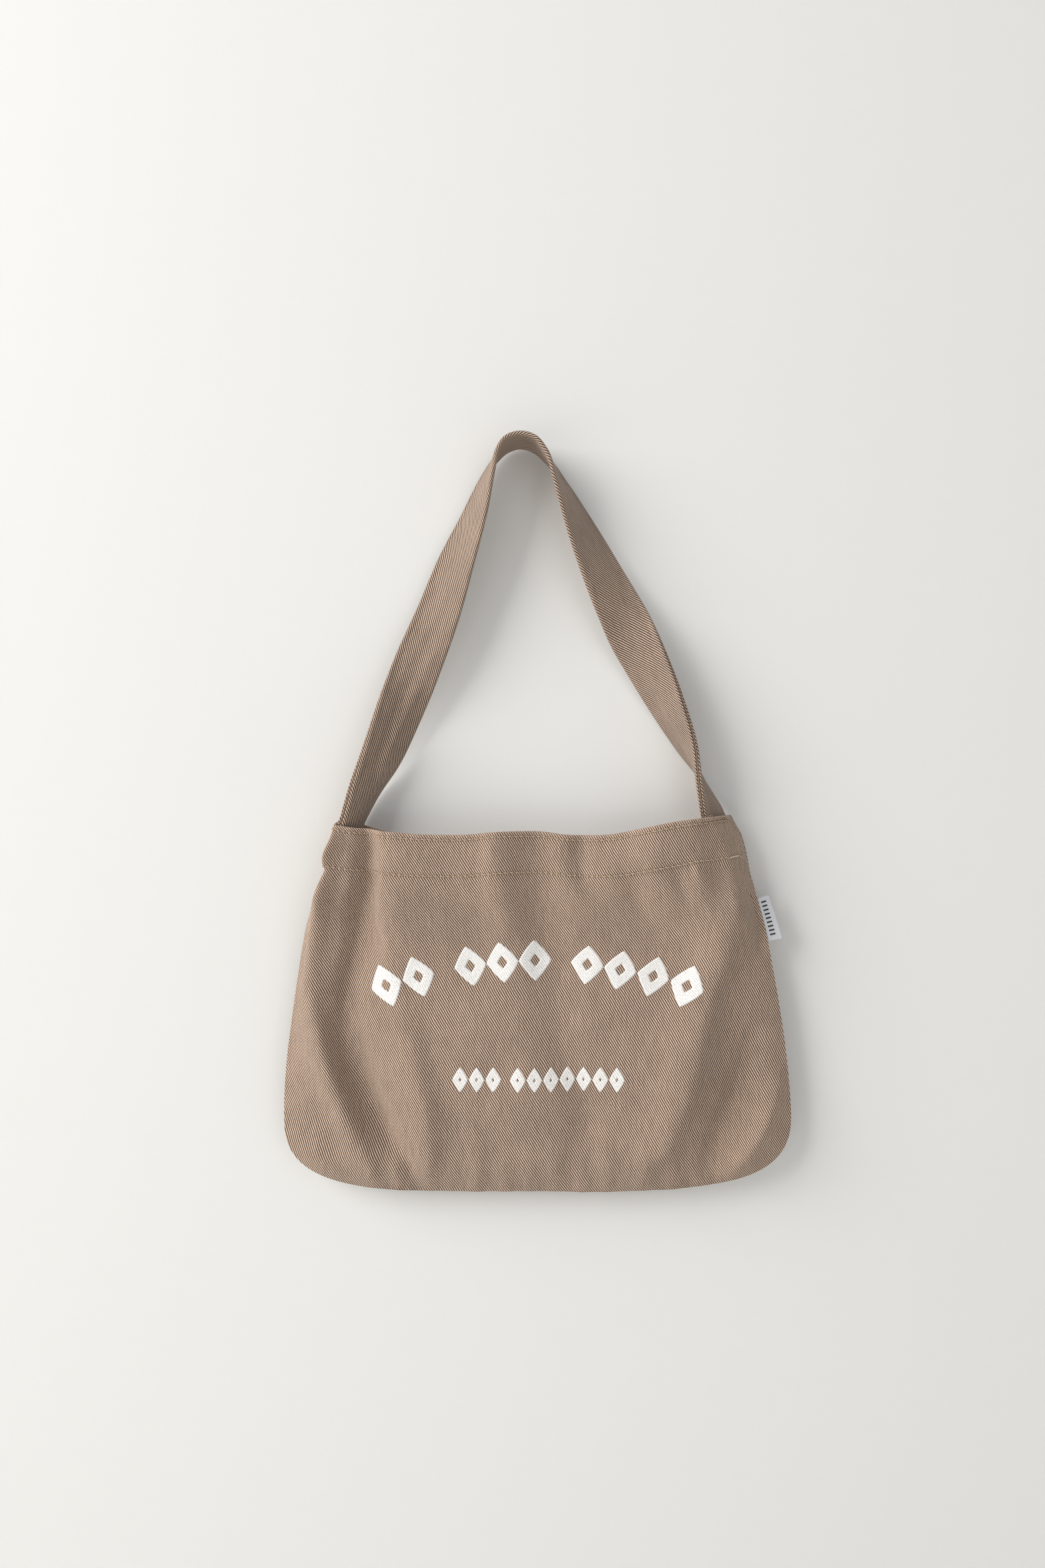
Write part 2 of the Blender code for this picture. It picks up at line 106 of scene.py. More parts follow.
def mixed(first, last, share):
    """The value this share of the way from the first to the last."""
    return first + (last - first) * share


def node(tree, kind, inputs=None, **settings):
    """A shader node with its settings, and each input either linked or set."""
    made = tree.nodes.new(kind)
    for key, value in settings.items():
        setattr(made, key, value)
    for key, value in (inputs or {}).items():
        if isinstance(value, bpy.types.NodeSocket):
            tree.links.new(value, made.inputs[key])
        else:
            made.inputs[key].default_value = value
    return made


def maths(tree, operation, *values):
    """The output of a Math node."""
    return node(tree, "ShaderNodeMath", dict(enumerate(values)), operation=operation).outputs[0]


def mapped(tree, value, low, high, first, last):
    """A value eased from one range to another by a soft step."""
    inputs = {0: value, 1: low, 2: high, 3: first, 4: last}
    return node(tree, "ShaderNodeMapRange", inputs, interpolation_type="SMOOTHSTEP").outputs[0]


def blended(tree, share, first, last):
    """A colour this share of the way from the first to the last."""
    made = node(tree, "ShaderNodeMix", {0: share, 6: first, 7: last}, data_type="RGBA")
    return made.outputs[2]


def material_of(name, roughness, colour=(0.8, 0.8, 0.8, 1)):
    """A material with a Principled shader, and its tree and shader to add to."""
    material = bpy.data.materials.new(name)
    material.use_nodes = True
    shader = material.node_tree.nodes["Principled BSDF"]
    shader.inputs["Base Color"].default_value = colour
    shader.inputs["Roughness"].default_value = roughness
    shader.inputs["Metallic"].default_value = 0
    shader.inputs["Specular IOR Level"].default_value = 0.25
    return material, material.node_tree, shader


# %% [markdown]
# ## Camera
# The bag is looked at squarely, from a little above its middle and about an arm's length away, through a
# fairly wide lens. The camera is held a degree and a half off level, so the mouth seems to slope.

# %%
CAMERA = (-4 * MM, -729 * MM, -219.5 * MM)
CAMERA_ROLL = math.radians(1.5)

lens = bpy.data.cameras.new("camera")
lens.sensor_width = 36
lens.lens = 26
camera = bpy.data.objects.new("camera", lens)
camera.location = CAMERA
camera.rotation_mode = "QUATERNION"

up = Vector((math.sin(CAMERA_ROLL), 0, math.cos(CAMERA_ROLL)))
ahead = Vector((0, 1, 0))
aside = ahead.cross(up)
camera.rotation_quaternion = Matrix((aside, up, -ahead)).transposed().to_quaternion()
bpy.context.scene.collection.objects.link(camera)
bpy.context.scene.camera = camera
bpy.context.scene.view_settings.view_transform = "Standard"
print(f"camera {-CAMERA[1] / MM:.0f} mm from the strap's crest, with a {lens.lens:.0f} mm lens")

# %% [markdown]
# ## Wall and floor
# The bag hangs against a painted wall, with a floor well below it. The wall is a single face that shows
# from its front only, so that the bag can be looked at from behind as well.

# %%
WALL_Y = 15.8 * MM  # just behind the bag's back
WALL_REACH = 22 * MM  # light that has come less far than this passes through the wall
WALL_HALF = 3.0
WALL_TOP = 2.0
FLOOR_Z = -900 * MM
FLOOR_FRONT = -4.0
FLOOR_BACK = 3.0


def plane(name, corners, material):
    """A four-cornered flat face, which belongs to the room and not to the bag."""
    mesh = bpy.data.meshes.new(name)
    mesh.from_pydata(corners, [], [(0, 1, 2, 3)])
    mesh.materials.append(material)
    obj = bpy.data.objects.new(name, mesh)
    bpy.context.scene.collection.objects.link(obj)
    return obj


def make_plaster():
    """Matt off-white wall paint, seen from its front only. The bag nearly touches the wall, so light
    that has only just left the bag's back passes through the paint, or the back would be black."""
    material, tree, shader = material_of("wall_paint", 0.85, (0.82, 0.815, 0.795, 1))
    clear = node(tree, "ShaderNodeBsdfTransparent")
    facing = node(tree, "ShaderNodeNewGeometry")
    length = node(tree, "ShaderNodeLightPath").outputs["Ray Length"]
    near = maths(tree, "LESS_THAN", length, WALL_REACH)
    unseen = maths(tree, "MAXIMUM", facing.outputs["Backfacing"], near)
    shown = node(tree, "ShaderNodeMixShader", {0: unseen, 1: shader.outputs[0], 2: clear.outputs[0]})
    tree.links.new(shown.outputs[0], tree.nodes["Material Output"].inputs["Surface"])
    return material


wall_corners = [(-WALL_HALF, FLOOR_Z), (WALL_HALF, FLOOR_Z), (WALL_HALF, WALL_TOP), (-WALL_HALF, WALL_TOP)]
plane("wall", [(x, WALL_Y, z) for x, z in wall_corners], make_plaster())
floor_corners = [(-1, FLOOR_FRONT), (1, FLOOR_FRONT), (1, FLOOR_BACK), (-1, FLOOR_BACK)]
floor_paint = material_of("floor_paint", 0.9, (0.78, 0.77, 0.75, 1))[0]
plane("floor", [(x * WALL_HALF, y, FLOOR_Z) for x, y in floor_corners], floor_paint)
print(f"wall {WALL_Y / MM:.1f} mm behind the strap's crest, floor {-FLOOR_Z / MM:.0f} mm below it")

# %% [markdown]
# ## Light
# One large soft light from the upper left, as from a window, and an even light from all round. The soft
# shadows on the wall fall to the right and below.

# %%
def area_light(name, place, target, size, power, colour):
    """A square light of this size, turned to its target."""
    light = bpy.data.lights.new(name, "AREA")
    light.shape = "SQUARE"
    light.size = size
    light.energy = power
    light.color = colour
    obj = bpy.data.objects.new(name, light)
    obj.location = place
    obj.rotation_mode = "QUATERNION"
    obj.rotation_quaternion = (Vector(target) - Vector(place)).to_track_quat("-Z", "Y")
    bpy.context.scene.collection.objects.link(obj)


area_light("window", (-2.3, -1.4, 1.05), (0, 0, -0.3), size=2.0, power=84, colour=(1.0, 0.985, 0.965))
area_light("bounce", (1.0, -2.4, 0.0), (0, 0, -0.25), size=1.6, power=8, colour=(0.96, 0.98, 1.0))

world = bpy.data.worlds.new("room")
bpy.context.scene.world = world
world.use_nodes = True
room_light = world.node_tree.nodes["Background"].inputs
room_light["Color"].default_value = (0.97, 0.98, 1.0, 1)
room_light["Strength"].default_value = 0.362
print("lit by", ", ".join(light.name for light in bpy.data.lights), "and the room")

# %% [markdown]
# ## Twill
# A three-up, one-down twill: each light warp yarn floats over three darker weft yarns and dives under
# the fourth, one step lower on every next warp. That gives the diagonal ribs. The pattern is worked out
# from the cloth's own coordinates, in metres across and along the warp.

# %%
DRIFT_ACROSS = 0.5 * MM  # how far yarns wander sideways
DRIFT_ALONG = 1.0 * MM  # and along themselves


def make_twill_group():
    """The twill as a node group. Each warp yarn has a number, and the phase of its float is the number
    of wefts along it, less the warp's number, in quarters. The rib is light where the phase is within
    the float."""
    tree = bpy.data.node_groups.new("twill_weave", "ShaderNodeTree")
    for name in ("Across", "Along", "Warp Pitch", "Weft Pitch"):
        tree.interface.new_socket(name, in_out="INPUT", socket_type="NodeSocketFloat")
    for name in ("Rib", "Height", "Yarn"):
        tree.interface.new_socket(name, in_out="OUTPUT", socket_type="NodeSocketFloat")
    given = node(tree, "NodeGroupInput").outputs
    place = node(tree, "ShaderNodeCombineXYZ", {0: given["Across"], 1: given["Along"]}).outputs[0]
    drift = node(tree, "ShaderNodeTexNoise", {"Vector": place, "Scale": 160.0, "Detail": 1.0})
    drift_parts = node(tree, "ShaderNodeSeparateColor", {0: drift.outputs["Color"]}).outputs
    sideways = maths(tree, "MULTIPLY", maths(tree, "SUBTRACT", drift_parts[0], 0.5), DRIFT_ACROSS)
    lengthways = maths(tree, "MULTIPLY", maths(tree, "SUBTRACT", drift_parts[1], 0.5), DRIFT_ALONG)
    warps = maths(tree, "DIVIDE", maths(tree, "ADD", given["Across"], sideways), given["Warp Pitch"])
    wefts = maths(tree, "DIVIDE", maths(tree, "ADD", given["Along"], lengthways), given["Weft Pitch"])
    number = maths(tree, "FLOOR", warps)
    within = maths(tree, "FRACT", warps)
    stepped = maths(tree, "ADD", number, maths(tree, "MULTIPLY", within, 0.7))
    phase = maths(tree, "FRACT", maths(tree, "MULTIPLY", maths(tree, "SUBTRACT", wefts, stepped), 0.25))
    off_middle = maths(tree, "ABSOLUTE", maths(tree, "SUBTRACT", phase, 0.5))
    rib = mapped(tree, off_middle, 0.16, 0.39, 1.0, 0.0)
    round_yarn = maths(tree, "SINE", maths(tree, "MULTIPLY", within, math.pi))
    height = maths(tree, "MULTIPLY", rib, maths(tree, "MULTIPLY_ADD", round_yarn, 0.3, 0.7))
    streak = node(tree, "ShaderNodeCombineXYZ", {0: number, 1: maths(tree, "MULTIPLY", given["Along"], 90.0)})
    slub = node(tree, "ShaderNodeTexNoise", {"Vector": streak.outputs[0], "Scale": 0.83, "Detail": 2.0})
    made = node(tree, "NodeGroupOutput")
    tree.links.new(rib, made.inputs["Rib"])
    tree.links.new(height, made.inputs["Height"])
    tree.links.new(slub.outputs[0], made.inputs["Yarn"])
    return tree


twill_weave = make_twill_group()


def cloth_place(tree):
    """A point's place in the flat cloth, as a vector and as its two parts."""
    cloth = node(tree, "ShaderNodeUVMap", uv_map="cloth").outputs[0]
    return cloth, node(tree, "ShaderNodeSeparateXYZ", {0: cloth}).outputs


def woven_at(tree, parts, warp_pitch, weft_pitch):
    """The outputs of the weave at a place in the cloth."""
    given = {"Across": parts[0], "Along": parts[1], "Warp Pitch": warp_pitch, "Weft Pitch": weft_pitch}
    weave = node(tree, "ShaderNodeGroup", node_tree=twill_weave)
    for key, value in given.items():
        if isinstance(value, bpy.types.NodeSocket):
            tree.links.new(value, weave.inputs[key])
        else:
            weave.inputs[key].default_value = value
    return weave.outputs


# %% [markdown]
# ## The two cloths
# The panels and the strap are the same twill, but the strap has been pressed and folded: its ribs lie
# closer together and a little darker. Cloth that is worn pale at an edge has a "wear" value there.

# %%
def make_twill(name, rib_colour, gap_colour_and_shade, warp_pitch, weft_pitch):
    """Twill cloth. Its ribs are the light warp floats, and between them the darker weft shows; the gaps'
    colour also carries painted shade of the grooves between the ribs.
    """
    material, tree, shader = material_of(name, 0.88)
    cloth, parts = cloth_place(tree)
    weave = woven_at(tree, parts, warp_pitch, weft_pitch)
    fullness = mapped(tree, weave["Yarn"], 0.25, 0.75, 0.72, 1.1)
    share = maths(tree, "MULTIPLY", weave["Rib"], fullness)
    woven = blended(tree, share, (*gap_colour_and_shade, 1), (*rib_colour, 1))
    wide = node(tree, "ShaderNodeTexNoise", {"Vector": cloth, "Scale": 22.0, "Detail": 3.0})
    worn = node(tree, "ShaderNodeAttribute", attribute_name="wear").outputs["Fac"]
    shade = mapped(tree, wide.outputs[0], 0.3, 0.7, 0.94, 1.05)
    shade = maths(tree, "ADD", shade, maths(tree, "MULTIPLY", worn, 0.14))
    tone = node(tree, "ShaderNodeVectorMath", {0: woven, 1: shade}, operation="MULTIPLY")
    tree.links.new(tone.outputs[0], shader.inputs["Base Color"])
    nap = node(tree, "ShaderNodeTexNoise", {"Vector": cloth, "Scale": 5200.0, "Detail": 1.0})
    relief = maths(tree, "MULTIPLY_ADD", nap.outputs[0], 0.25, weave["Height"])
    bump = node(tree, "ShaderNodeBump", {"Height": relief, "Strength": 0.8, "Distance": 0.22 * MM})
    tree.links.new(bump.outputs[0], shader.inputs["Normal"])
    shader.inputs["Sheen Weight"].default_value = 0.12
    shader.inputs["Sheen Roughness"].default_value = 0.6
    return material


RIB = (0.725, 0.54, 0.412)
# The weft's own dark brown, made darker still as painted shade in the grooves between the ribs.
WEFT_AND_GROOVE_SHADE = (0.045, 0.021, 0.012)
WARP_PITCH = 0.39 * MM
WEFT_PITCH = 0.675 * MM
STRAP_RIB = (0.62, 0.462, 0.355)
# The strap's weft colour likewise carries painted shade of its grooves.
STRAP_WEFT_AND_GROOVE_SHADE = (0.036, 0.018, 0.011)
twill_cloth = make_twill("twill_cloth", RIB, WEFT_AND_GROOVE_SHADE, WARP_PITCH, WEFT_PITCH)
strap_cloth = make_twill("strap_cloth", STRAP_RIB, STRAP_WEFT_AND_GROOVE_SHADE, 0.43 * MM, 0.55 * MM)
print(f"panels: a warp yarn every {WARP_PITCH / MM:.2f} mm, a weft yarn every {WEFT_PITCH / MM:.3f} mm")

# %% [markdown]
# ## Threads
# Spun sewing thread in four shades. A thread's UV map runs once round it and in metres along it, which
# is all that its twist needs.

# %%
TWIST = 0.7 * MM  # the length of thread in which its strands go once round


def make_thread(name, colour):
    """Spun sewing thread: matt, with a twist that shows as fine diagonal bands."""
    material, tree, shader = material_of(name, 0.7)
    parts = cloth_place(tree)[1]
    start = maths(tree, "MULTIPLY", parts[0], 2 * math.pi)
    strand = maths(tree, "SINE", maths(tree, "MULTIPLY_ADD", parts[1], 2 * math.pi / TWIST, start))
    shade = mapped(tree, strand, -1.0, 1.0, 0.62, 1.08)
    tone = node(tree, "ShaderNodeVectorMath", {0: colour, 1: shade}, operation="MULTIPLY")
    tree.links.new(tone.outputs[0], shader.inputs["Base Color"])
    bump = node(tree, "ShaderNodeBump", {"Height": strand, "Strength": 0.5, "Distance": 0.05 * MM})
    tree.links.new(bump.outputs[0], shader.inputs["Normal"])
    shader.inputs["Sheen Weight"].default_value = 0.1
    return material


hem_thread = make_thread("hem_thread", (0.56, 0.42, 0.30))
strap_thread = make_thread("strap_thread", (0.42, 0.30, 0.22))
# Near-black brown: the colour of the dark frayed threads, and painted shade in the needle holes.
dark_thread = make_thread("dark_thread", (0.10, 0.062, 0.042))
pale_thread = make_thread("pale_thread", (0.66, 0.58, 0.48))
print("threads:", hem_thread.name, strap_thread.name, dark_thread.name, pale_thread.name)

# %% [markdown]
# ## Making meshes
# Points are worked out as whole arrays, and one helper turns them into a closed mesh with the cloth's
# coordinates as its UV map. A ply of cloth is a shell between two grids, closed round its rim.

# %%
def mesh_of(name, points, faces, cloth, material, body_normals=None, wear=None):
    """An object from points, groups of equal-sided faces, and each point's place in the cloth."""
    mesh = bpy.data.meshes.new(name)
    mesh.vertices.add(len(points))
    mesh.vertices.foreach_set("co", np.ascontiguousarray(points, np.float32).ravel())
    loops = np.concatenate([group.ravel() for group in faces]).astype(np.int32)
    sides = np.concatenate([np.full(len(group), group.shape[1]) for group in faces])
    starts = np.concatenate([[0], np.cumsum(sides)[:-1]]).astype(np.int32)
    mesh.loops.add(len(loops))
    mesh.loops.foreach_set("vertex_index", loops)
    mesh.polygons.add(len(sides))
    mesh.polygons.foreach_set("loop_start", starts)
    mesh.update(calc_edges=True)
    layer = mesh.uv_layers.new(name="cloth")
    layer.data.foreach_set("uv", cloth[loops].astype(np.float32).ravel())
    if wear is not None:
        edge = mesh.attributes.new("wear", "FLOAT", "POINT")
        edge.data.foreach_set("value", wear.astype(np.float32).ravel())
    mesh.materials.append(material)
    mesh.shade_smooth()
    if body_normals is not None:
        mesh.normals_split_custom_set_from_vertices(body_normals.astype(np.float32))
    obj = bpy.data.objects.new(name, mesh)
    bpy.context.scene.collection.objects.link(obj)
    return obj


# %% [markdown]
# ## Faces that look outwards
# A closed mesh has all its faces looking away from the cloth inside it. The faces of a grid are listed
# one way round first, and turned over together if they turn out to look inwards.

# %%
def unit(vectors):
    """Vectors scaled to a length of one."""
    return vectors / np.maximum(np.linalg.norm(vectors, axis=-1, keepdims=True), 1e-12)


def look_out(faces, points, out):
    """Whether faces look, on the whole, the way that these vectors point."""
    first = points[faces[:, 1]] - points[faces[:, 0]]
    second = points[faces[:, -1]] - points[faces[:, 0]]
    return (np.cross(first, second) * out).sum() > 0


def vertex_normals(points, faces):
    """Each point's normal, from the faces round it."""
    total = np.zeros_like(points)
    for group in faces:
        first = points[group[:, 1]] - points[group[:, 0]]
        second = points[group[:, -1]] - points[group[:, 0]]
        normal = np.cross(first, second)
        for corner in group.T:
            np.add.at(total, corner, normal)
    return unit(total)


def grid_faces(rows, columns):
    """The quads of a grid of points."""
    index = np.arange(rows * columns).reshape(rows, columns)
    return np.stack([index[:-1, :-1], index[:-1, 1:], index[1:, 1:], index[1:, :-1]], axis=-1).reshape(-1, 4)


def shell(name, outer, inner, cloth, material, wear=None):
    """A ply of cloth between two grids of points, closed round its rim."""
    rows, columns = outer.shape[:2]
    back = rows * columns
    quads = grid_faces(rows, columns)
    points = np.concatenate([outer.reshape(-1, 3), inner.reshape(-1, 3)])
    index = np.arange(back).reshape(rows, columns)
    rim = np.concatenate([index[0, :], index[1:, -1], index[-1, -2::-1], index[-2:0:-1, 0]])
    after = np.roll(rim, -1)
    sides = np.stack([rim, rim + back, after + back, after], axis=-1)
    if not look_out(quads, points, points[quads[:, 0]] - points[quads[:, 0] + back]):
        quads = quads[:, ::-1]
        sides = sides[:, ::-1]
    skins = [quads, quads[:, ::-1] + back]
    flat = cloth.reshape(-1, 2)
    both = None if wear is None else np.concatenate([wear.ravel(), wear.ravel()])
    normals = vertex_normals(points, skins)
    return mesh_of(name, points, [*skins, sides], np.concatenate([flat, flat]), material, normals, both)


# %% [markdown]
# ## Lines, bands and threads
# A band or a thread is a closed section carried along a line of points. Every line is measured by the
# run along it, so that stitches and yarns keep their pitch whatever way the line bends.

# %%
def directions(line):
    """Unit vectors along a line of points."""
    return unit(np.gradient(line, axis=0))


def run_of(line):
    """How far along a line each of its points is."""
    return np.concatenate([[0], np.cumsum(np.linalg.norm(np.diff(line, axis=0), axis=1))])


def carried(values, run, at):
    """What goes with a line's points, given at their runs, read at other runs."""
    return np.stack([np.interp(at, run, values[:, k]) for k in range(values.shape[1])], axis=1)


def resampled(line, at):
    """A line's points at these distances along it."""
    return carried(line, run_of(line), at)


def rings(name, line, across, through, section, cloth, material):
    """A closed section carried along a line, with a face over each end."""
    section = np.broadcast_to(section, (len(line), *np.shape(section)[-2:]))
    points = line[:, None] + section[:, :, :1] * across[:, None] + section[:, :, 1:] * through[:, None]
    stations, corners = points.shape[:2]
    index = np.arange(stations * corners).reshape(stations, corners)
    after = np.roll(index, -1, axis=1)
    sides = np.stack([index[:-1], after[:-1], after[1:], index[1:]], axis=-1).reshape(-1, 4)
    flat = points.reshape(-1, 3)
    centre = np.repeat(line, corners, axis=0)
    faces = [sides, index[:1, ::-1], index[-1:]]
    if not look_out(sides, flat, flat[sides[:, 0]] - centre[sides[:, 0]]):
        faces = [group[:, ::-1] for group in faces]
    return mesh_of(name, flat, faces, cloth.reshape(-1, 2), material)


def tube(name, line, normal, radius, material, sides=6):
    """A thread along a line."""
    along = directions(line)
    beside = unit(np.cross(along, normal))
    turns = np.arange(sides) * 2 * np.pi / sides
    ring = np.stack([np.cos(turns), np.sin(turns)], axis=1) * np.asarray(radius).reshape(-1, 1, 1)
    cloth = np.stack(np.broadcast_arrays(turns[None] / (2 * np.pi), run_of(line)[:, None]), axis=-1)
    return rings(name, line, beside, np.cross(beside, along), ring, cloth, material)


def stitch_row(name, line, normal, pitch, radius, material, tilt=0.2 * MM, per_stitch=9, sink=0.55):
    """Lockstitches along a line of points with unit normals: each one rises out of its needle hole, lies
    along the cloth, and dives into the next hole. The height is a half sine's square root. tilt is how
    far a stitch slants to the side, and sink how deep it dives, in thread radii."""
    run = run_of(line)
    count = int(run[-1] / pitch)
    at = np.linspace(0, run[-1], count * per_stitch + 1)
    placed = resampled(line, at)
    off = unit(carried(normal, run, at))
    phase = np.linspace(0, count, len(at)) % 1
    lift = radius * (np.sqrt(np.sin(np.pi * phase)) * (1.1 + sink) - sink)
    beside = np.cross(off, directions(placed))
    slant = tilt * (2 * phase - 1) * np.sin(np.pi * phase) ** 0.5
    return tube(name, placed + off * lift[:, None] + beside * slant[:, None], off, radius, material)


# %% [markdown]
# ## The bag's outline
# The outline is a trapezoid whose sides flare on a quarter sine, with superellipse corners at the
# bottom. A hanging bag is never quite even, so short lists say how far the lip, the two sides and the
# bottom stray from that plain outline, at a few places with smooth curves between them.

# %%
def roll(distance, reach):
    """A quarter sine: 0 at a seam, 1 from this reach inwards."""
    return np.sin(np.pi / 2 * np.clip(distance / reach, 0, 1))


def through_knots(at, knots):
    """Cubic pieces through knots. A knot is (place, values...), and the slope at a knot is that of its
    two neighbours. Before the first and after the last knot the values stay as they are."""
    knots = np.asarray(knots, float)
    run, values = knots[:, 0], knots[:, 1:]
    slope = np.gradient(values, run, axis=0)
    at = np.clip(at, run[0], run[-1])
    piece = np.clip(np.searchsorted(run, at, side="right") - 1, 0, len(run) - 2)
    span = (run[piece + 1] - run[piece])[..., None]
    share = (at - run[piece])[..., None] / span
    rise = share * share * (3 - 2 * share)
    return (
        values[piece] * (1 - rise)
        + values[piece + 1] * rise
        + slope[piece] * span * share * (1 - share) ** 2
        - slope[piece + 1] * span * share**2 * (1 - share)
    )


BOTTOM_HANG_POWER = 5  # the hang and the bow of the bottom fade upwards with these powers
BOTTOM_BOW_POWER = 6


def half_width(depth):
    """Half the bag's width at a depth: a sine flare to the widest line, then a superellipse corner."""
    flare = np.sin(np.pi / 2 * np.clip(depth / WIDEST_DEPTH, 0, 1)) ** 0.9
    above = mixed(MOUTH_WIDTH / 2, BAG_WIDTH / 2, flare)
    fall = np.clip((depth - WIDEST_DEPTH) / (BAG_HEIGHT - WIDEST_DEPTH), 0, 1)
    return above * (1 - fall**3) ** (1 / 3)


LAST_ROW = WIDEST_DEPTH + (1 - BOTTOM_SHARE**3) ** (1 / 3) * (BAG_HEIGHT - WIDEST_DEPTH)
print(f"outline {2 * half_width(0) / MM:.0f} mm at the mouth, last row {LAST_ROW / MM:.0f} mm down")

# %% [markdown]
# ## How the outline strays
# The lip sags between the corners, in two shallow bows. The left side bulges along the stiff hem and is
# nipped in where the hem ends. The bottom hangs lower on the right.

# %%
# How far the front lip lies under the mouth's corners: (share of the half width, millimetres).
LIP_DROPS = (
    (-1.0, -1.0),
    (-0.82, 3.4),
    (-0.64, 5.9),
    (-0.45, 8.2),
    (-0.27, 8.9),
    (-0.09, 7.6),
    (0.09, 8.2),
    (0.27, 11.0),
    (0.45, 11.2),
    (0.64, 7.6),
    (0.82, 3.6),
    (1.0, 1.2),
)

# How far the outline stands out from the plain one, on the left and on the right: (depth, millimetres).
LEFT_SIDE = (
    (-2, -1.0),
    (5, -4.2),
    (10, -5.1),
    (16, -4.4),
    (21, -3.7),
    (24, -4.2),
    (28, -6.4),
    (33, -5.4),
    (38, -3.8),
    (45, -2.0),
    (55, -0.5),
    (100, -0.1),
    (125, 0.2),
    (150, 1.4),
    (180, 2.6),
    (238, 2.8),
)
RIGHT_SIDE = (
    (-2, 4.4),
    (5, 5.0),
    (12, 6.2),
    (20, 5.8),
    (28, 4.9),
    (37, 3.6),
    (50, 3.5),
    (75, 3.0),
    (100, 1.8),
    (120, 1.5),
    (150, 1.9),
    (180, 2.8),
    (200, 3.4),
    (238, 3.6),
)
# How far the bottom hangs lower than the plain outline: (across, millimetres).
BOTTOM_HANG = (
    (-165, 5.4),
    (-145, 4.8),
    (-115, 3.4),
    (-84, 2.0),
    (-40, 1.8),
    (0, 2.2),
    (38, 4.2),
    (69, 5.2),
    (99, 6.6),
    (129, 9.8),
    (146, 12.0),
    (165, 13.0),
)
print(f"lip sags by up to {max(knot[1] for knot in LIP_DROPS)} mm")

# %% [markdown]
# ## Folds
# A fold is a line down the cloth with a height, positive for a ridge and negative for a valley, and a
# width to its left and to its right. They follow the way the empty bag hangs from its two corners:
# columns under the corners, a wide swell on the right, and small puckers along the bottom seam.

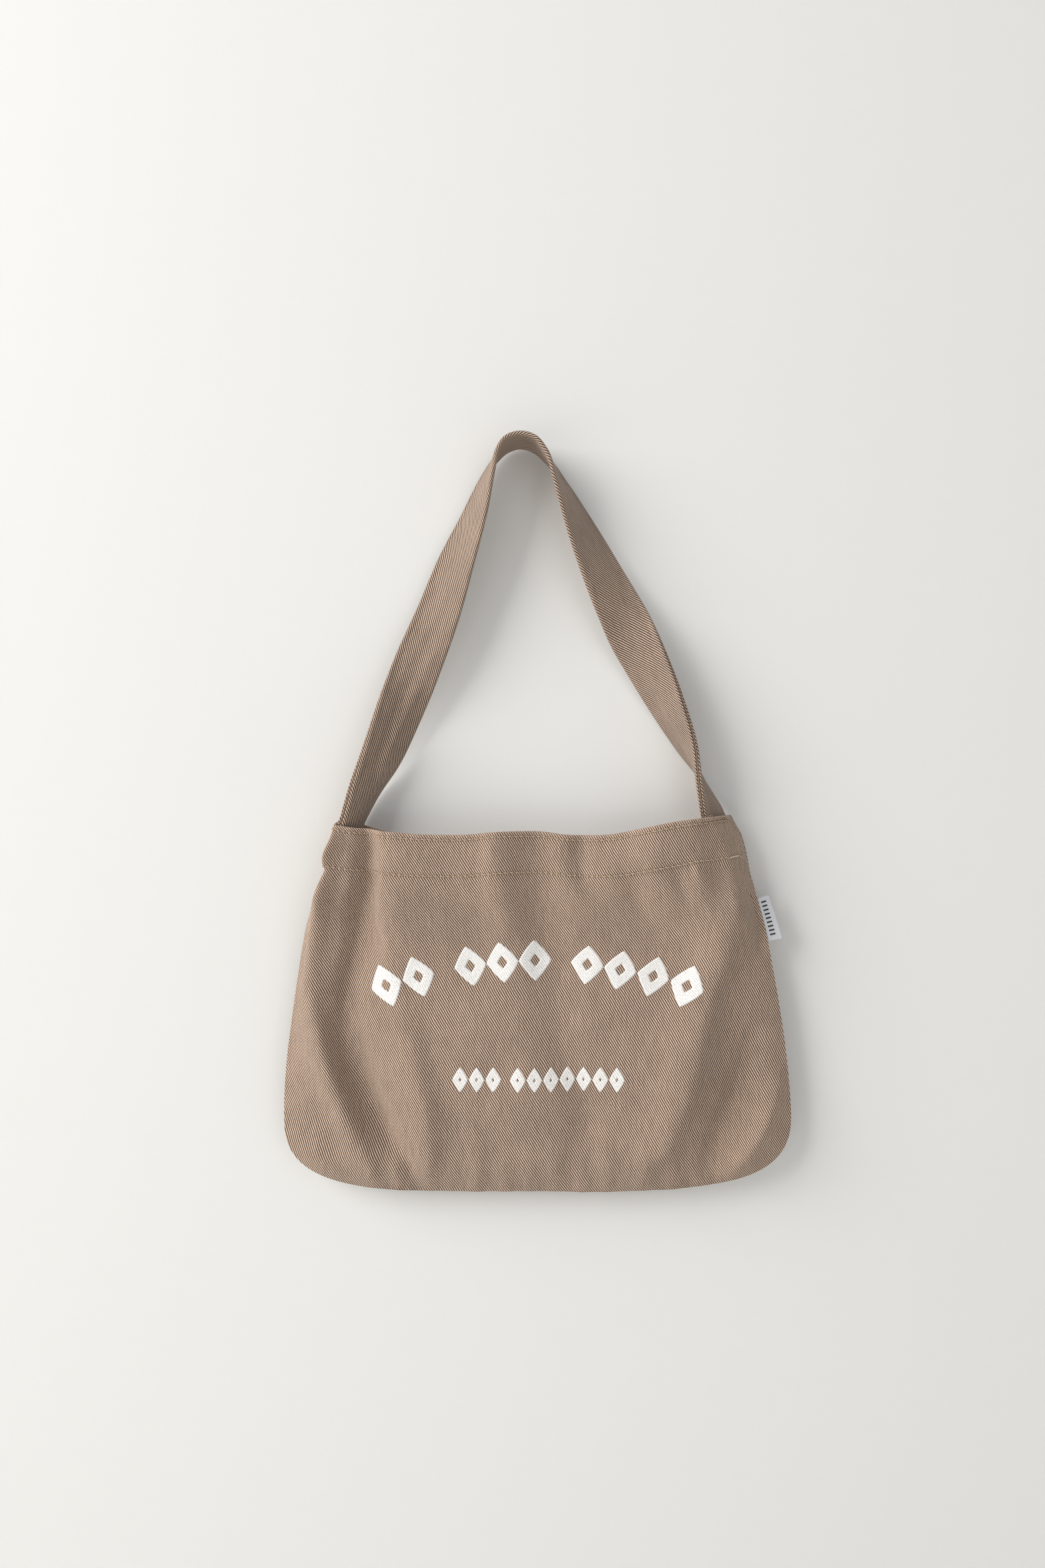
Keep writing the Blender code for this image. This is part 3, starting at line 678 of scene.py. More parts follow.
# %%
# Folds of the front panel, in millimetres. Each knot is (depth, x, height, width left, width right).
FRONT_FOLDS = {
    "left valley": (
        (-2, -100, -2.4, 5, 12),
        (10, -101, -3.4, 5, 12),
        (30, -103, -3.8, 5, 13),
        (48, -107, -4.0, 6, 14),
        (77, -114, -4.0, 6, 15),
        (111, -121, -3.8, 7, 15),
        (153, -120, -3.4, 8, 14),
        (191, -108, -2.5, 8, 12),
        (218, -98, 0.0, 8, 12),
    ),
    "left column": (
        (-2, -118, 0.0, 5, 6),
        (15, -124, 2.5, 7, 8),
        (26, -126, 1.2, 7, 8),
        (48, -131, 3.0, 9, 8),
        (77, -141, 3.0, 9, 9),
        (112, -143, 3.2, 10, 9),
        (144, -134, 3.5, 12, 7),
        (176, -122, 3.5, 12, 8),
        (219, -105, 1.0, 12, 8),
        (232, -100, 0.0, 12, 8),
    ),
    "second valley": (
        (125, -112, 0.0, 8, 9),
        (166, -107, -2.8, 8, 9),
        (198, -94, -2.8, 8, 9),
        (219, -82, -1.5, 7, 8),
        (232, -78, 0.0, 7, 8),
    ),
    "second column": (
        (100, -86, 0.0, 14, 10),
        (129, -81, 1.6, 14, 10),
        (156, -76, 2.4, 14, 9),
        (188, -70, 2.6, 13, 9),
        (220, -69, 1.2, 10, 8),
        (234, -69, 0.0, 10, 8),
    ),
    "middle ridge": (
        (-4, -13, 1.6, 10, 12),
        (30, -13, 2.0, 11, 13),
        (70, -14, 1.4, 12, 14),
        (110, -12, 0.0, 12, 14),
    ),
    "middle valley": (
        (-4, 12, -1.8, 13, 14),
        (40, 11, -2.0, 13, 16),
        (106, 14, -2.0, 14, 18),
        (148, 19, -2.2, 14, 18),
        (170, 28, -2.2, 14, 16),
        (222, 26, -1.0, 12, 12),
        (234, 26, 0.0, 12, 12),
    ),
    "lip dent": (
        (-4, 38, -1.6, 6, 9),
        (20, 37, -1.6, 6, 9),
        (50, 45, 0.0, 6, 9),
    ),
    "lip swell": (
        (-4, 84, 2.0, 15, 16),
        (20, 85, 2.2, 15, 15),
        (30, 90, 0.8, 12, 12),
        (60, 98, 0.0, 12, 12),
    ),
    "right ridge": (
        (30, 136, 0.0, 12, 10),
        (56, 131, 3.0, 14, 10),
        (88, 120, 4.4, 18, 11),
        (119, 108, 4.8, 20, 12),
        (161, 97, 4.8, 20, 12),
        (203, 81, 3.5, 18, 11),
        (223, 68, 1.4, 14, 10),
        (234, 62, 0.0, 12, 10),
    ),
    "right valley": (
        (130, 139, 0.0, 9, 9),
        (162, 130, -3.0, 9, 10),
        (203, 113, -3.0, 9, 9),
        (224, 104, -1.4, 8, 8),
        (233, 100, 0.0, 8, 8),
    ),
    "corner ridge": (
        (160, 154, 0.0, 7, 6),
        (183, 148, 2.2, 8, 6),
        (214, 129, 2.2, 8, 7),
        (228, 118, 0.0, 8, 7),
    ),
    "left shoulder": (
        (-4, -86, 1.8, 8, 36),
        (80, -90, 2.0, 8, 36),
        (130, -90, 0.0, 8, 36),
    ),
    "right shoulder": (
        (-4, 108, 4.2, 32, 10),
        (30, 110, 4.2, 32, 11),
        (70, 112, 1.5, 32, 12),
        (110, 112, 0.0, 32, 12),
    ),
    "hem pucker one": ((24, 112, 0.0, 4, 5), (32, 114, 1.2, 4, 5), (50, 120, 0.0, 5, 6)),
    "hem pucker two": ((24, 98, 0.0, 4, 5), (33, 100, -1.2, 5, 5), (54, 104, 0.0, 5, 6)),
    "hem pucker three": ((24, 68, 0.0, 6, 7), (36, 70, -1.0, 7, 7), (60, 74, 0.0, 8, 8)),
}
print(len(FRONT_FOLDS), "folds:", ", ".join(FRONT_FOLDS))

# %% [markdown]
# ## Folds as heights
# Every fold is a bell curve across its line. Puckers, the belly and the waves are added in the same way,
# as heights over the flat panel, so that they can be changed one by one.

# %%
BOTTOM_PUCKERS = (-104, -88, -69, -54, -39, -22, -6, 12, 27, 43, 55, 66, 84, 99)
PUCKER_FOOT = 236
PUCKER_WIDTH = 5.5


def folded(x, depth, folds):
    """How far folds lift the cloth: for each, its height times a bell curve of the distance from its
    line, in its width on that side."""
    total = np.zeros(np.broadcast(x, depth).shape)
    for knots in folds:
        line, height, left, right = np.moveaxis(through_knots(depth / MM, knots), -1, 0)
        away = x / MM - line
        width = np.where(away < 0, left, right)
        total = total + height * np.exp(-((away / width) ** 2))
    return total * MM


def puckers(x, depth):
    """The bottom seam gathers the cloth a little: short ridges that fade out upwards."""
    total = np.zeros(np.broadcast(x, depth).shape)
    for number, centre in enumerate(BOTTOM_PUCKERS):
        reach = 26 + 9 * math.sin(number * 2.3)
        height = (1.7 + 0.9 * math.sin(number * 1.7)) * np.exp(-(((depth / MM) - PUCKER_FOOT) / reach) ** 2)
        total = total + height * np.exp(-(((x / MM) - centre) / PUCKER_WIDTH) ** 2)
    return total * MM


HOLLOW = (3.2, 72, 32)  # height, depth of its middle, and reach up and down, in millimetres
SWELL = (6.2, 152, 40)


def belly(across, depth):
    """The front falls back under the hem and fills out lower down: a hollow and a swell, each a bell
    curve of the depth, fading towards the seams."""
    hollow, swell = (
        height * np.exp(-(((depth / MM - middle) / reach) ** 2)) for height, middle, reach in (HOLLOW, SWELL)
    )
    return (swell - hollow) * np.clip(1 - across**2, 0, 1) * MM


FOLD_GAIN = 2.0  # how much deeper the folds are than their heights say
WAVE_COUNT = 26
WAVE_LENGTHS = (14, 60)
WAVE_HEIGHT = 0.085 * MM
chance = np.random.default_rng(11)
headings = chance.uniform(0, 2 * np.pi, WAVE_COUNT)
lengths = chance.uniform(*WAVE_LENGTHS, WAVE_COUNT)
starts = chance.uniform(0, 2 * np.pi, WAVE_COUNT)


def undulation(x, depth):
    """The slight unevenness of hanging cloth: waves of many lengths and directions, the longer the
    higher."""
    total = np.zeros(np.broadcast(x, depth).shape)
    for heading, length, start in zip(headings, lengths, starts):
        travel = (x * math.cos(heading) * 1.5 + depth * math.sin(heading)) / MM
        total = total + length / WAVE_LENGTHS[1] * np.sin(travel * 2 * np.pi / length + start)
    return total * WAVE_HEIGHT


print(f"{len(BOTTOM_PUCKERS)} puckers along the bottom, {WAVE_COUNT} waves over each panel")


# %% [markdown]
# ## The panels' surface
# The middle surface of each ply stands off the seams' plane: wide open at the mouth, where the strap's
# ends keep the lips apart, and nearly flat below. It rolls in towards the seams, and where the label is
# caught the two plies lie close together. The folds and the pull of the stitches come on top of that.

# %%
# How far a panel stands off, in front (-1) and behind (1), at the mouth and lower down.
SIDE_STANDS = {-1: (13 * MM, 5 * MM), 1: (13 * MM, 8 * MM)}
MIDDLE_STANDS = {-1: (14 * MM, 12 * MM), 1: (7.5 * MM, 8 * MM)}
CLOSING = 68 * MM  # below the strap's ends, the bag closes over this depth
SEAM_ROLL = (8 * MM, 20 * MM)  # how far from a seam a ply still curves, at the mouth and lower down
FOOT_ROLL = 25 * MM
PINCH_TOP = 46 * MM  # the label's seam is pinched from here
PINCH_FOOT = 93 * MM  # to here
PINCH_EASE = 7 * MM
PINCH_FLAT = 2.5 * MM
PINCH_RISE = 8 * MM
GROOVE_DEPTH = 1.6 * MM  # a sharp groove beside the right seam, under the hem
GROOVE_PLACE = 3.2 * MM
GROOVE_WIDTH = 0.7 * MM
GROOVE_FOOT = 86 * MM
HEM_STEP = 0.45 * MM  # the hem stands proud of the single ply under it
BACK_LIP_DROP = 4.2 * MM  # the back lip hangs lower than the front one
HEM_SAG = 104 * MM  # the lip's sag fades over this depth below the hem


def opened(depth):
    """0 down to the ends of the strap, which hold the mouth open, and 1 where the bag has closed."""
    return smooth((depth - END_DEPTH) / CLOSING)


def from_seam(across, depth):
    """How far a place is from the nearer side seam."""
    return (1 - np.abs(across)) * half_width(depth)


def stand_off(side, across, depth):
    """How far a panel stands off the seams' plane, without its folds."""
    at_side = mixed(*SIDE_STANDS[side], opened(depth))
    in_middle = mixed(*MIDDLE_STANDS[side], opened(depth))
    inside = from_seam(across, depth)
    rolled = roll(inside, mixed(*SEAM_ROLL, opened(depth)))
    caught = smooth((depth - PINCH_TOP) / PINCH_EASE) * smooth((PINCH_FOOT - depth) / PINCH_EASE)
    caught = caught * (across > 0)
    rolled = rolled * (1 - caught * (1 - smooth((inside - PINCH_FLAT) / PINCH_RISE)))
    swelling = (in_middle - at_side) * np.clip(1 - across**2, 0, 1) ** 1.5
    return roll(LAST_ROW - depth, FOOT_ROLL) * (at_side * rolled + swelling)


for side, place in ((-1, "front"), (1, "back")):
    print(f"{place} stands off by {stand_off(side, 0.0, 0.0) / MM:.1f} mm in the middle of the mouth")

# %% [markdown]
# ## What lies on the surface
# The front has the deep folds, and a sharp groove beside its right seam. The back is plainer. Each row
# of stitches dents both of them a little.

# %%
def front_relief(across, depth):
    """The folds, the groove and the unevenness of the front."""
    x = across * half_width(depth)
    window = smooth((depth - HEM_DEPTH) / (4 * MM)) * smooth((GROOVE_FOOT - depth) / (30 * MM))
    bell = np.exp(-(((from_seam(across, depth) - GROOVE_PLACE) / GROOVE_WIDTH) ** 2))
    folds = FOLD_GAIN * folded(x, depth, FRONT_FOLDS.values()) + puckers(x, depth)
    groove = GROOVE_DEPTH * bell * (across > 0) * window
    return folds - groove + undulation(x, depth) + belly(across, depth)


def back_relief(across, depth):
    """The back is plainer: weaker puckers, and other waves than the front's."""
    x = across * half_width(depth)
    return 0.7 * puckers(-x, depth) + undulation(-x - 40 * MM, depth + 90 * MM)


def stitch_dent(depth, row, pull, reach):
    """A row of stitches pulls the cloth in by this much."""
    return -pull * np.exp(-(((depth - row) / reach) ** 2))


# %% [markdown]
# ## A panel's points
# Everything that is sewn or printed on a panel asks this one function where the cloth is, so no piece
# can lose its place when a fold is changed. The normal is measured from neighbouring points.

# %%
def panel(side, across, depth):
    """The middle surface of a panel's ply. side is -1 in front and 1 behind, across runs from -1 at the
    left seam to 1 at the right one, and depth is under the mouth."""
    across, depth = np.broadcast_arrays(np.asarray(across, float), np.asarray(depth, float))
    flat_x = across * half_width(depth)
    relief = front_relief(across, depth) if side < 0 else back_relief(across, depth)
    relief = relief + stitch_dent(depth, HEM_DEPTH, 0.45 * MM, 0.9 * MM)
    relief = relief + stitch_dent(depth, TOP_ROW_DEPTH, 0.3 * MM, 0.8 * MM)
    relief = relief + HEM_STEP * (1 - smooth((depth - HEM_DEPTH) / (2 * MM)))
    relief = relief * roll(from_seam(across, depth), 7 * MM) * roll(LAST_ROW - depth + 2 * MM, 9 * MM)
    y = side * (SEAM_OFFSET + stand_off(side, across, depth) + relief)
    left_out = through_knots(depth / MM, LEFT_SIDE)[..., 0] * MM
    right_out = through_knots(depth / MM, RIGHT_SIDE)[..., 0] * MM
    out = np.where(across < 0, -left_out, right_out) * np.abs(across) ** 3
    x = flat_x + out + 0.5 * (1 - opened(depth)) * y
    lip = through_knots(across, LIP_DROPS)[..., 0] * MM
    if side > 0:
        lip = lip + BACK_LIP_DROP * (1 - across**6)
    share = np.clip(depth, 0, None) / LAST_ROW
    hang = through_knots(flat_x / MM, BOTTOM_HANG)[..., 0] * MM * share**BOTTOM_HANG_POWER
    sag = lip * (1 - smooth((depth - HEM_DEPTH) / HEM_SAG))
    bow = (BAG_HEIGHT - LAST_ROW) * (1 - across**2) * share**BOTTOM_BOW_POWER
    return np.stack([x, y, MOUTH_Z - depth - sag - bow - hang], axis=-1)


def panel_normal(side, across, depth):
    """The panel's outward unit normal, from points a hair's breadth apart."""
    step = 0.05 * MM
    aside = step / half_width(depth)
    over = panel(side, across + aside, depth) - panel(side, across - aside, depth)
    down = panel(side, across, depth + step) - panel(side, across, depth - step)
    return unit(np.cross(over, down) * side)


print(f"mouth open by {(panel(1, 0, 0) - panel(-1, 0, 0))[1] / MM:.0f} mm in its middle")


# %% [markdown]
# ## Panels with their hems
# Each panel is one strip of cloth from the bottom seam up to the mouth, over the edge in a tight fold,
# and down again inside as the turned ply. The front is made in two halves that meet in the middle.

# %%
FOLD_RADIUS = (CLOTH + GAP) / 2


def strip_rows():
    """The rows of a panel's strip: its depth, how far it lies inside the outer ply, and how far it has
    turned over. Rows are closer together at the stitches and round the fold."""
    fine = 0.4 * MM
    coarse = 1.35 * MM
    low, high = HEM_DEPTH + 3 * MM, HEM_DEPTH - 3 * MM
    top = TOP_ROW_DEPTH + 2.4 * MM
    foot = LAST_ROW - np.linspace(0, 1, 13) ** 1.6 * 14 * MM
    body = np.arange(foot[-1] - coarse, low, -coarse)
    around_low = np.arange(low, high, -fine)
    between = np.arange(high, top, -coarse * 0.8)
    around_top = np.arange(top, FOLD_RADIUS, -fine)
    outer = np.concatenate([foot, body, around_low, between, around_top])
    turn = np.linspace(0, np.pi, 9)
    inner = np.concatenate([np.linspace(FOLD_RADIUS, 8 * MM, 7)[1:], np.linspace(8 * MM, TURNED_PLY, 10)[1:]])
    depth = np.concatenate([outer, FOLD_RADIUS * (1 - np.sin(turn)), inner])
    inset = np.concatenate([0 * outer, FOLD_RADIUS * (1 - np.cos(turn)), 0 * inner + 2 * FOLD_RADIUS])
    turned = np.concatenate([0 * outer, turn, 0 * inner + np.pi])
    return depth, inset, turned


def make_panel(name, side, across, material):
    """A strip of cloth with its hem, between two skins half a ply outside and inside its middle. A
    point's place in the flat cloth is its distance along its own row, and along the strip."""
    depth, inset, turned = strip_rows()
    skins = []
    for half in (CLOTH / 2, -CLOTH / 2):
        level = (depth - half * np.sin(turned))[:, None]
        sunk = (inset - half * np.cos(turned))[:, None, None]
        skins.append(panel(side, across[None], level) - panel_normal(side, across[None], level) * sunk)
    length = np.concatenate([[0], np.cumsum(np.hypot(np.diff(depth), np.diff(inset)))])
    steps = np.linalg.norm(np.diff(skins[0][..., :2], axis=1), axis=-1)
    over = np.concatenate([np.zeros((len(depth), 1)), np.cumsum(steps, axis=1)], axis=1)
    over = over - over[:, np.abs(across).argmin()][:, None]
    fallen = MOUTH_Z - skins[0][..., 2] - depth[:, None]
    cloth = np.stack([over * -side, (LAST_ROW - length)[:, None] + fallen], axis=-1)
    wear = np.exp(-(((depth - 0.2 * MM) / (1.2 * MM)) ** 2))[:, None] * np.ones(len(across))
    return shell(name, skins[0], skins[1], cloth, material, wear)


def seam_spacing(count):
    """Shares from 0 to 1, closer together towards the seam at 1."""
    turn = np.pi / 2 * 0.93
    return np.sin(np.linspace(0, turn, count)) / math.sin(turn)


half_columns = seam_spacing(128)
front_right = make_panel("front_cloth_right", -1, half_columns, twill_cloth)
front_left = make_panel("front_cloth_left", -1, -half_columns[::-1], twill_cloth)
back_columns = np.concatenate([-seam_spacing(96)[:0:-1], seam_spacing(96)])
back_cloth = make_panel("back_cloth", 1, back_columns, twill_cloth)
for made in (front_right, front_left, back_cloth):
    print(made.name, len(made.data.polygons), "faces")

# %% [markdown]
# ## How the panels are placed, and how they were cut
# The back and both side seams belong to the bag. The front's pieces have their places baked into their
# points. Flat, a half of the front is half the width and the height, with a seam's allowance and the
# turned ply added.


def follow_front(obj):
    """A piece on one half of the front has its place baked into its points."""
    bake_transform(obj)


follow_front(front_right)
follow_front(front_left)
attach(back_cloth, "bag")
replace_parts(front_right, "front_panel", "front_hem_ply")
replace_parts(back_cloth, "back_panel", "back_hem_ply")

# %% [markdown]
# ## Hem stitches
# Two rows of lockstitches on each panel: one just under the folded edge, one where the turned ply ends.
# The thread slants a little from hole to hole, and between the stitches dark beads paint the shade in the
# needle holes.

# %%
HEM_PITCH = 3.7 * MM
ROW_END = 0.985  # the rows stop at this share of the half width
HOLE_WIDTH = 0.6 * MM
HOLE_HEIGHT = 0.5 * MM
HOLE_RISE = 0.3 * MM


def hem_line(side, depth, first, last, count, lift):
    """A level line over a panel, from one share of the half width to another, and its normals."""
    across = np.linspace(first, last, count)
    level = np.full_like(across, depth)
    normal = panel_normal(side, across, level)
    return panel(side, across, level) + normal * (CLOTH / 2 + lift), normal


def hem_row(name, side, depth, first, last, material):
    """Stitches along a hem from one share of the half width to another."""
    line, normal = hem_line(side, depth, first, last, 260, 0.05 * MM)
    return stitch_row(name, line, normal, HEM_PITCH, 0.42 * MM, material, tilt=-0.5 * MM, sink=1.1)


def needle_hole_shades(name, side, depth, first, last):
    """Painted shade in the needle holes between the stitches: flat little six-sided dark beads at the cloth's
    surface.
    """
    line, normal = hem_line(side, depth, first, last, 400, 0)
    run = run_of(line)
    at = np.linspace(0, run[-1], int(run[-1] / HEM_PITCH) + 1)
    centre = resampled(line, at)
    off = carried(normal, run, at)
    over = unit(np.cross(off, [0.0, 0.0, 1.0]))
    corner = np.arange(6)
    turns = corner[None, :, None] * np.pi / 3
    ring = (
        (centre + off * 0.12 * MM)[:, None]
        + HOLE_WIDTH * np.cos(turns) * over[:, None]
        + HOLE_HEIGHT * np.sin(turns) * np.cross(over, off)[:, None]
    )
    tips = np.stack([centre + off * HOLE_RISE, centre - off * HOLE_RISE], axis=1)
    points = np.concatenate([ring, tips], axis=1).reshape(-1, 3)
    following = (corner + 1) % 6
    cap = np.stack([corner, following, 0 * corner + 6], axis=-1)
    base = np.stack([following, corner, 0 * corner + 7], axis=-1)
    bead = np.concatenate([cap, base])
    faces = (bead[None] + np.arange(len(at))[:, None, None] * 8).reshape(-1, 3)
    if not look_out(faces, points, points[faces[:, 0]] - np.repeat(centre, 8, axis=0)[faces[:, 0]]):
        faces = faces[:, ::-1]
    # The beads take the dark thread's colour as painted shade in the holes.
    obj = mesh_of(name, points, [faces], points[:, [0, 2]], dark_thread)
    return obj


for row, depth in (("top", TOP_ROW_DEPTH), ("low", HEM_DEPTH)):
    made = [
        hem_row(f"front_{row}_stitches_left", -1, depth, -ROW_END, 0.0, hem_thread),
        hem_row(f"front_{row}_stitches_right", -1, depth, 0.0, ROW_END, hem_thread),
    ]
    follow_front(made[0])
    follow_front(made[1])
    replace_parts(made[0], f"front_hem_{row}_stitch")
    made.append(hem_row(f"back_{row}_stitches", 1, depth, -ROW_END, ROW_END, hem_thread))
    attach(made[2], "bag")
    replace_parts(made[2], f"back_hem_{row}_stitch")
    follow_front(needle_hole_shades(f"front_{row}_holes_left", -1, depth, -ROW_END, 0.0))
    follow_front(needle_hole_shades(f"front_{row}_holes_right", -1, depth, 0.0, ROW_END))
    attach(needle_hole_shades(f"back_{row}_holes", 1, depth, -ROW_END, ROW_END), "bag")
    print(f"{row} hem rows {depth / MM:.1f} mm under the mouth")

# %% [markdown]
# ## Seams inside
# The side and bottom seams are sewn inside out and turned. Inside the bag, the two raw edges stand in
# from the seam as a narrow allowance, held together by an overlock thread wound round them.

# %%
SEAM_TOP = TURNED_PLY + 5 * MM  # the seam is hidden by the turned ply above this
STITCH_LINE = 3.0 * MM  # from the rolled edge to the seam's stitches
RAW_EDGE = 11.3 * MM  # from the rolled edge to the raw edges
OVERLOCK_PITCH = 2.2 * MM
OVERLOCK_REACH = 2.0 * MM  # half the width that the coil takes in
OVERLOCK_HALF = 1.75 * MM  # half its thickness
SQUARENESS = 0.6  # 1 would make the coil an ellipse, 0 a rectangle


def seam_curve(count):
    """Where the panels meet, down the right side, along the bottom and up the left one, and the unit
    vectors that point into the bag."""
    down = np.linspace(SEAM_TOP, LAST_ROW, count)
    share = np.sin(np.linspace(np.pi / 2, -np.pi / 2, count))
    across = np.concatenate([0 * down[:-1] + 1, share, 0 * down[1:] - 1])
    depth = np.concatenate([down[:-1], 0 * share + LAST_ROW, down[-2::-1]])
    line = (panel(-1, across, depth) + panel(1, across, depth)) / 2
    line[:, 1] = 0
    line = resampled(line, np.linspace(0, run_of(line)[-1], count * 3))
    along = directions(line)
    inward = np.stack([along[:, 2], 0 * along[:, 0], -along[:, 0]], axis=1)
    return line, inward * -np.sign(inward[0, 0])


def make_allowance():
    """Both plies of the allowance: two leaves that part slightly at their wavy raw edges."""
    line, inward = seam_curve(260)
    run = run_of(line) / MM
    leaf = np.linspace(STITCH_LINE + 1.3 * MM, RAW_EDGE, 9) / MM
    spread = 0.15 + 0.35 * ((leaf - leaf[0]) / (leaf[-1] - leaf[0])) ** 2
    outer = [(a, -0.75 - s) for a, s in zip(leaf, spread)]
    inner = [(a, -s) for a, s in zip(leaf[::-1], spread[::-1])]
    half = np.array(outer + inner)
    section = np.concatenate([half, half[::-1] * (1, -1)]) * MM
    bent = np.broadcast_to(section, (len(line), *section.shape)).copy()
    reach = (section[:, 0] - section[0, 0]) / (RAW_EDGE - section[0, 0])
    bent[:, :, 0] += (0.35 * np.sin(run / 7.3) + 0.2 * np.sin(run / 2.9))[:, None] * reach[None] * MM
    bent[:, :, 1] += (0.5 * np.sin(run / 11.0) + 0.25 * np.sin(run / 4.3))[:, None] * reach[None] ** 2 * MM
    lengthways = line[:, :1] + line[:, 2:] + run[:, None] * MM
    cloth = np.stack(np.broadcast_arrays(run_of(section)[None], lengthways), axis=-1)
    behind = np.broadcast_to([0.0, 1.0, 0.0], line.shape)
    return rings("allowance_cloth", line, inward, behind, bent, cloth, twill_cloth)


def make_overlock():
    """The overlock thread: a flattened coil round the raw edges, whose rounds are a stitch apart."""
    line, inward = seam_curve(260)
    run = run_of(line)
    turns = int(run[-1] / OVERLOCK_PITCH)
    at = np.linspace(0, run[-1], turns * 14)
    angle = np.linspace(0, 2 * np.pi * turns, len(at))
    placed = resampled(line, at)
    into = carried(inward, run, at)
    flat_cos = np.sign(np.cos(angle)) * np.abs(np.cos(angle)) ** SQUARENESS
    flat_sin = np.sign(np.sin(angle)) * np.abs(np.sin(angle)) ** SQUARENESS
    path = placed + into * (RAW_EDGE - 1.2 * MM + OVERLOCK_REACH * flat_cos)[:, None]
    path[:, 1] += OVERLOCK_HALF * flat_sin
    return tube("overlock_thread", path, into, 0.24 * MM, pale_thread)


def make_seam_row():
    """The stitches that join the panels."""
    line, inward = seam_curve(260)
    towards = np.broadcast_to([0.0, -1.0, 0.0], line.shape)
    return stitch_row("seam_thread", line + inward * STITCH_LINE, towards, 2.8 * MM, 0.3 * MM, hem_thread)


for made, solid, cloth_or_thread in (
    (make_allowance(), "seam_allowance", "twill_cloth"),
    (make_overlock(), "seam_overlock", "sewing_thread"),
    (make_seam_row(), "seam_stitch", "sewing_thread"),
):
    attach(made, "bag")
    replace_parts(made, solid)
print(f"seam {run_of(seam_curve(260)[0])[-1] / MM:.0f} mm long")

# %% [markdown]
# ## The strap
# One folded strip, closed by a row of stitches along one edge. It comes out of the mouth's left corner,
# turns over once on the way up, lies flat over the peg at the origin, and turns over again on the way
# down. Its section has the two rolled edges with the slit between them on the stitched side, a groove
# along the stitches, and a plain fold on the other side.

# %%
# Each knot: across and down from the crest, in millimetres, and the turn of the width, in degrees.
STRAP_KNOTS = (
    (-112.0, 242.0, 70),
    (-102.9, 220.2, 56),
    (-94.7, 203.8, 42),
    (-82.2, 173.0, 24),
    (-69.2, 142.0, -2),
    (-55.7, 111.3, -22),
    (-43.8, 80.3, -37.5),
    (-31.0, 49.6, -57),
    (-20.0, 20.3, -76),
    (-15.4, 9.9, -85),
    (-9.0, 2.7, -90),
    (0.0, 0.0, -90),
    (9.4, 2.7, -90),
    (16.7, 10.4, -86),
    (25.9, 29.3, -72),
    (40.5, 63.6, -46.5),
    (56.0, 98.5, -23),
    (64.1, 115.9, -7),
    (72.0, 133.6, 20),
    (87.8, 167.9, 50),
    (103.3, 203.0, 79),
    (110.2, 220.2, 101),
    (118.0, 242.0, 122),
)
END_LEAN = 0.35  # how far an end inside the bag moves outwards for each metre downwards
LEFT_END_TURN = -600  # how an end turns further inside the bag, in degrees for each metre of depth
RIGHT_END_TURN = 300
CREST_FORWARD = 2.5 * MM  # the strap's crest stands forward of its ends
CREST_REACH = 90 * MM


def strap_frames(count):
    """Stations along the strap, its ends inside the bag included: the middle points, the unit vectors
    across the width (from the stitched edge to the fold) and through the thickness, and the run."""
    knots = np.array(STRAP_KNOTS) * (MM, -MM, math.pi / 180)
    steps = run_of(knots[:, :2])
    reach = END_DEPTH * math.hypot(1, END_LEAN)
    at = np.linspace(-reach, steps[-1] + reach, count)
    values = through_knots(at, np.column_stack([steps, knots]))
    before = np.clip(-at, 0, None)[:, None] / reach * END_DEPTH
    after = np.clip(at - steps[-1], 0, None)[:, None] / reach * END_DEPTH
    placed = values[:, :2] + before * (-END_LEAN, -1) + after * (END_LEAN, -1)
    forward = CREST_FORWARD * np.exp(-((placed[:, 1] / CREST_REACH) ** 2))
    middle = np.stack([placed[:, 0], -forward, placed[:, 1] + STRAP_THICK / 2], axis=1)
    along = directions(middle)
    level = unit(np.stack([along[:, 2], 0 * at, -along[:, 0]], axis=1))
    turn = values[:, 2:3] + np.radians(after * RIGHT_END_TURN + before * LEFT_END_TURN)
    across = np.cos(turn) * level + np.sin(turn) * np.array([0.0, 1.0, 0.0])
    return middle, across, np.cross(along, across), at


def strap_section():
    """The strap's outline as (distance across, distance through), in millimetres, from the slit round
    one face, the fold and the other face, back to the slit."""
    wide, thick = STRAP_WIDTH / MM / 2, STRAP_THICK / MM / 2
    lip = [
        (-wide + 3.0, 0.18),
        (-wide + 1.6, 0.38),
        (-wide + 0.5, 0.62),
        (-wide + 0.05, 1.0),
        (-wide + 0.05, 1.4),
        (-wide + 0.5, 1.95),
        (-wide + 1.2, 2.2),
        (-wide + 2.0, 2.15),
        (-wide + 2.8, 1.85),
        (-wide + 3.6, thick * 1.08),
    ]
    face = [(a, thick) for a in np.linspace(-wide + 4.6, wide - 2.6, 22)]
    edge = [
        (wide - 1.7, thick * 0.98),
        (wide - 0.9, thick * 0.86),
        (wide - 0.35, thick * 0.62),
        (wide - 0.06, thick * 0.32),
    ]
    top = np.array(lip + face + edge)
    return np.concatenate([top, [(wide, 0.0)], top[::-1] * (1, -1)]) * MM


print(f"strap's section: {len(strap_section())} points, {run_of(strap_section())[-1] / MM:.0f} mm round")


# %% [markdown]
# ## The strap's creases
# A pressed strip that is twisted creases lengthwise where it turns, and it cups a little where its ends
# are pulled round into the corners. Both are added to the section before it is carried along the strap.

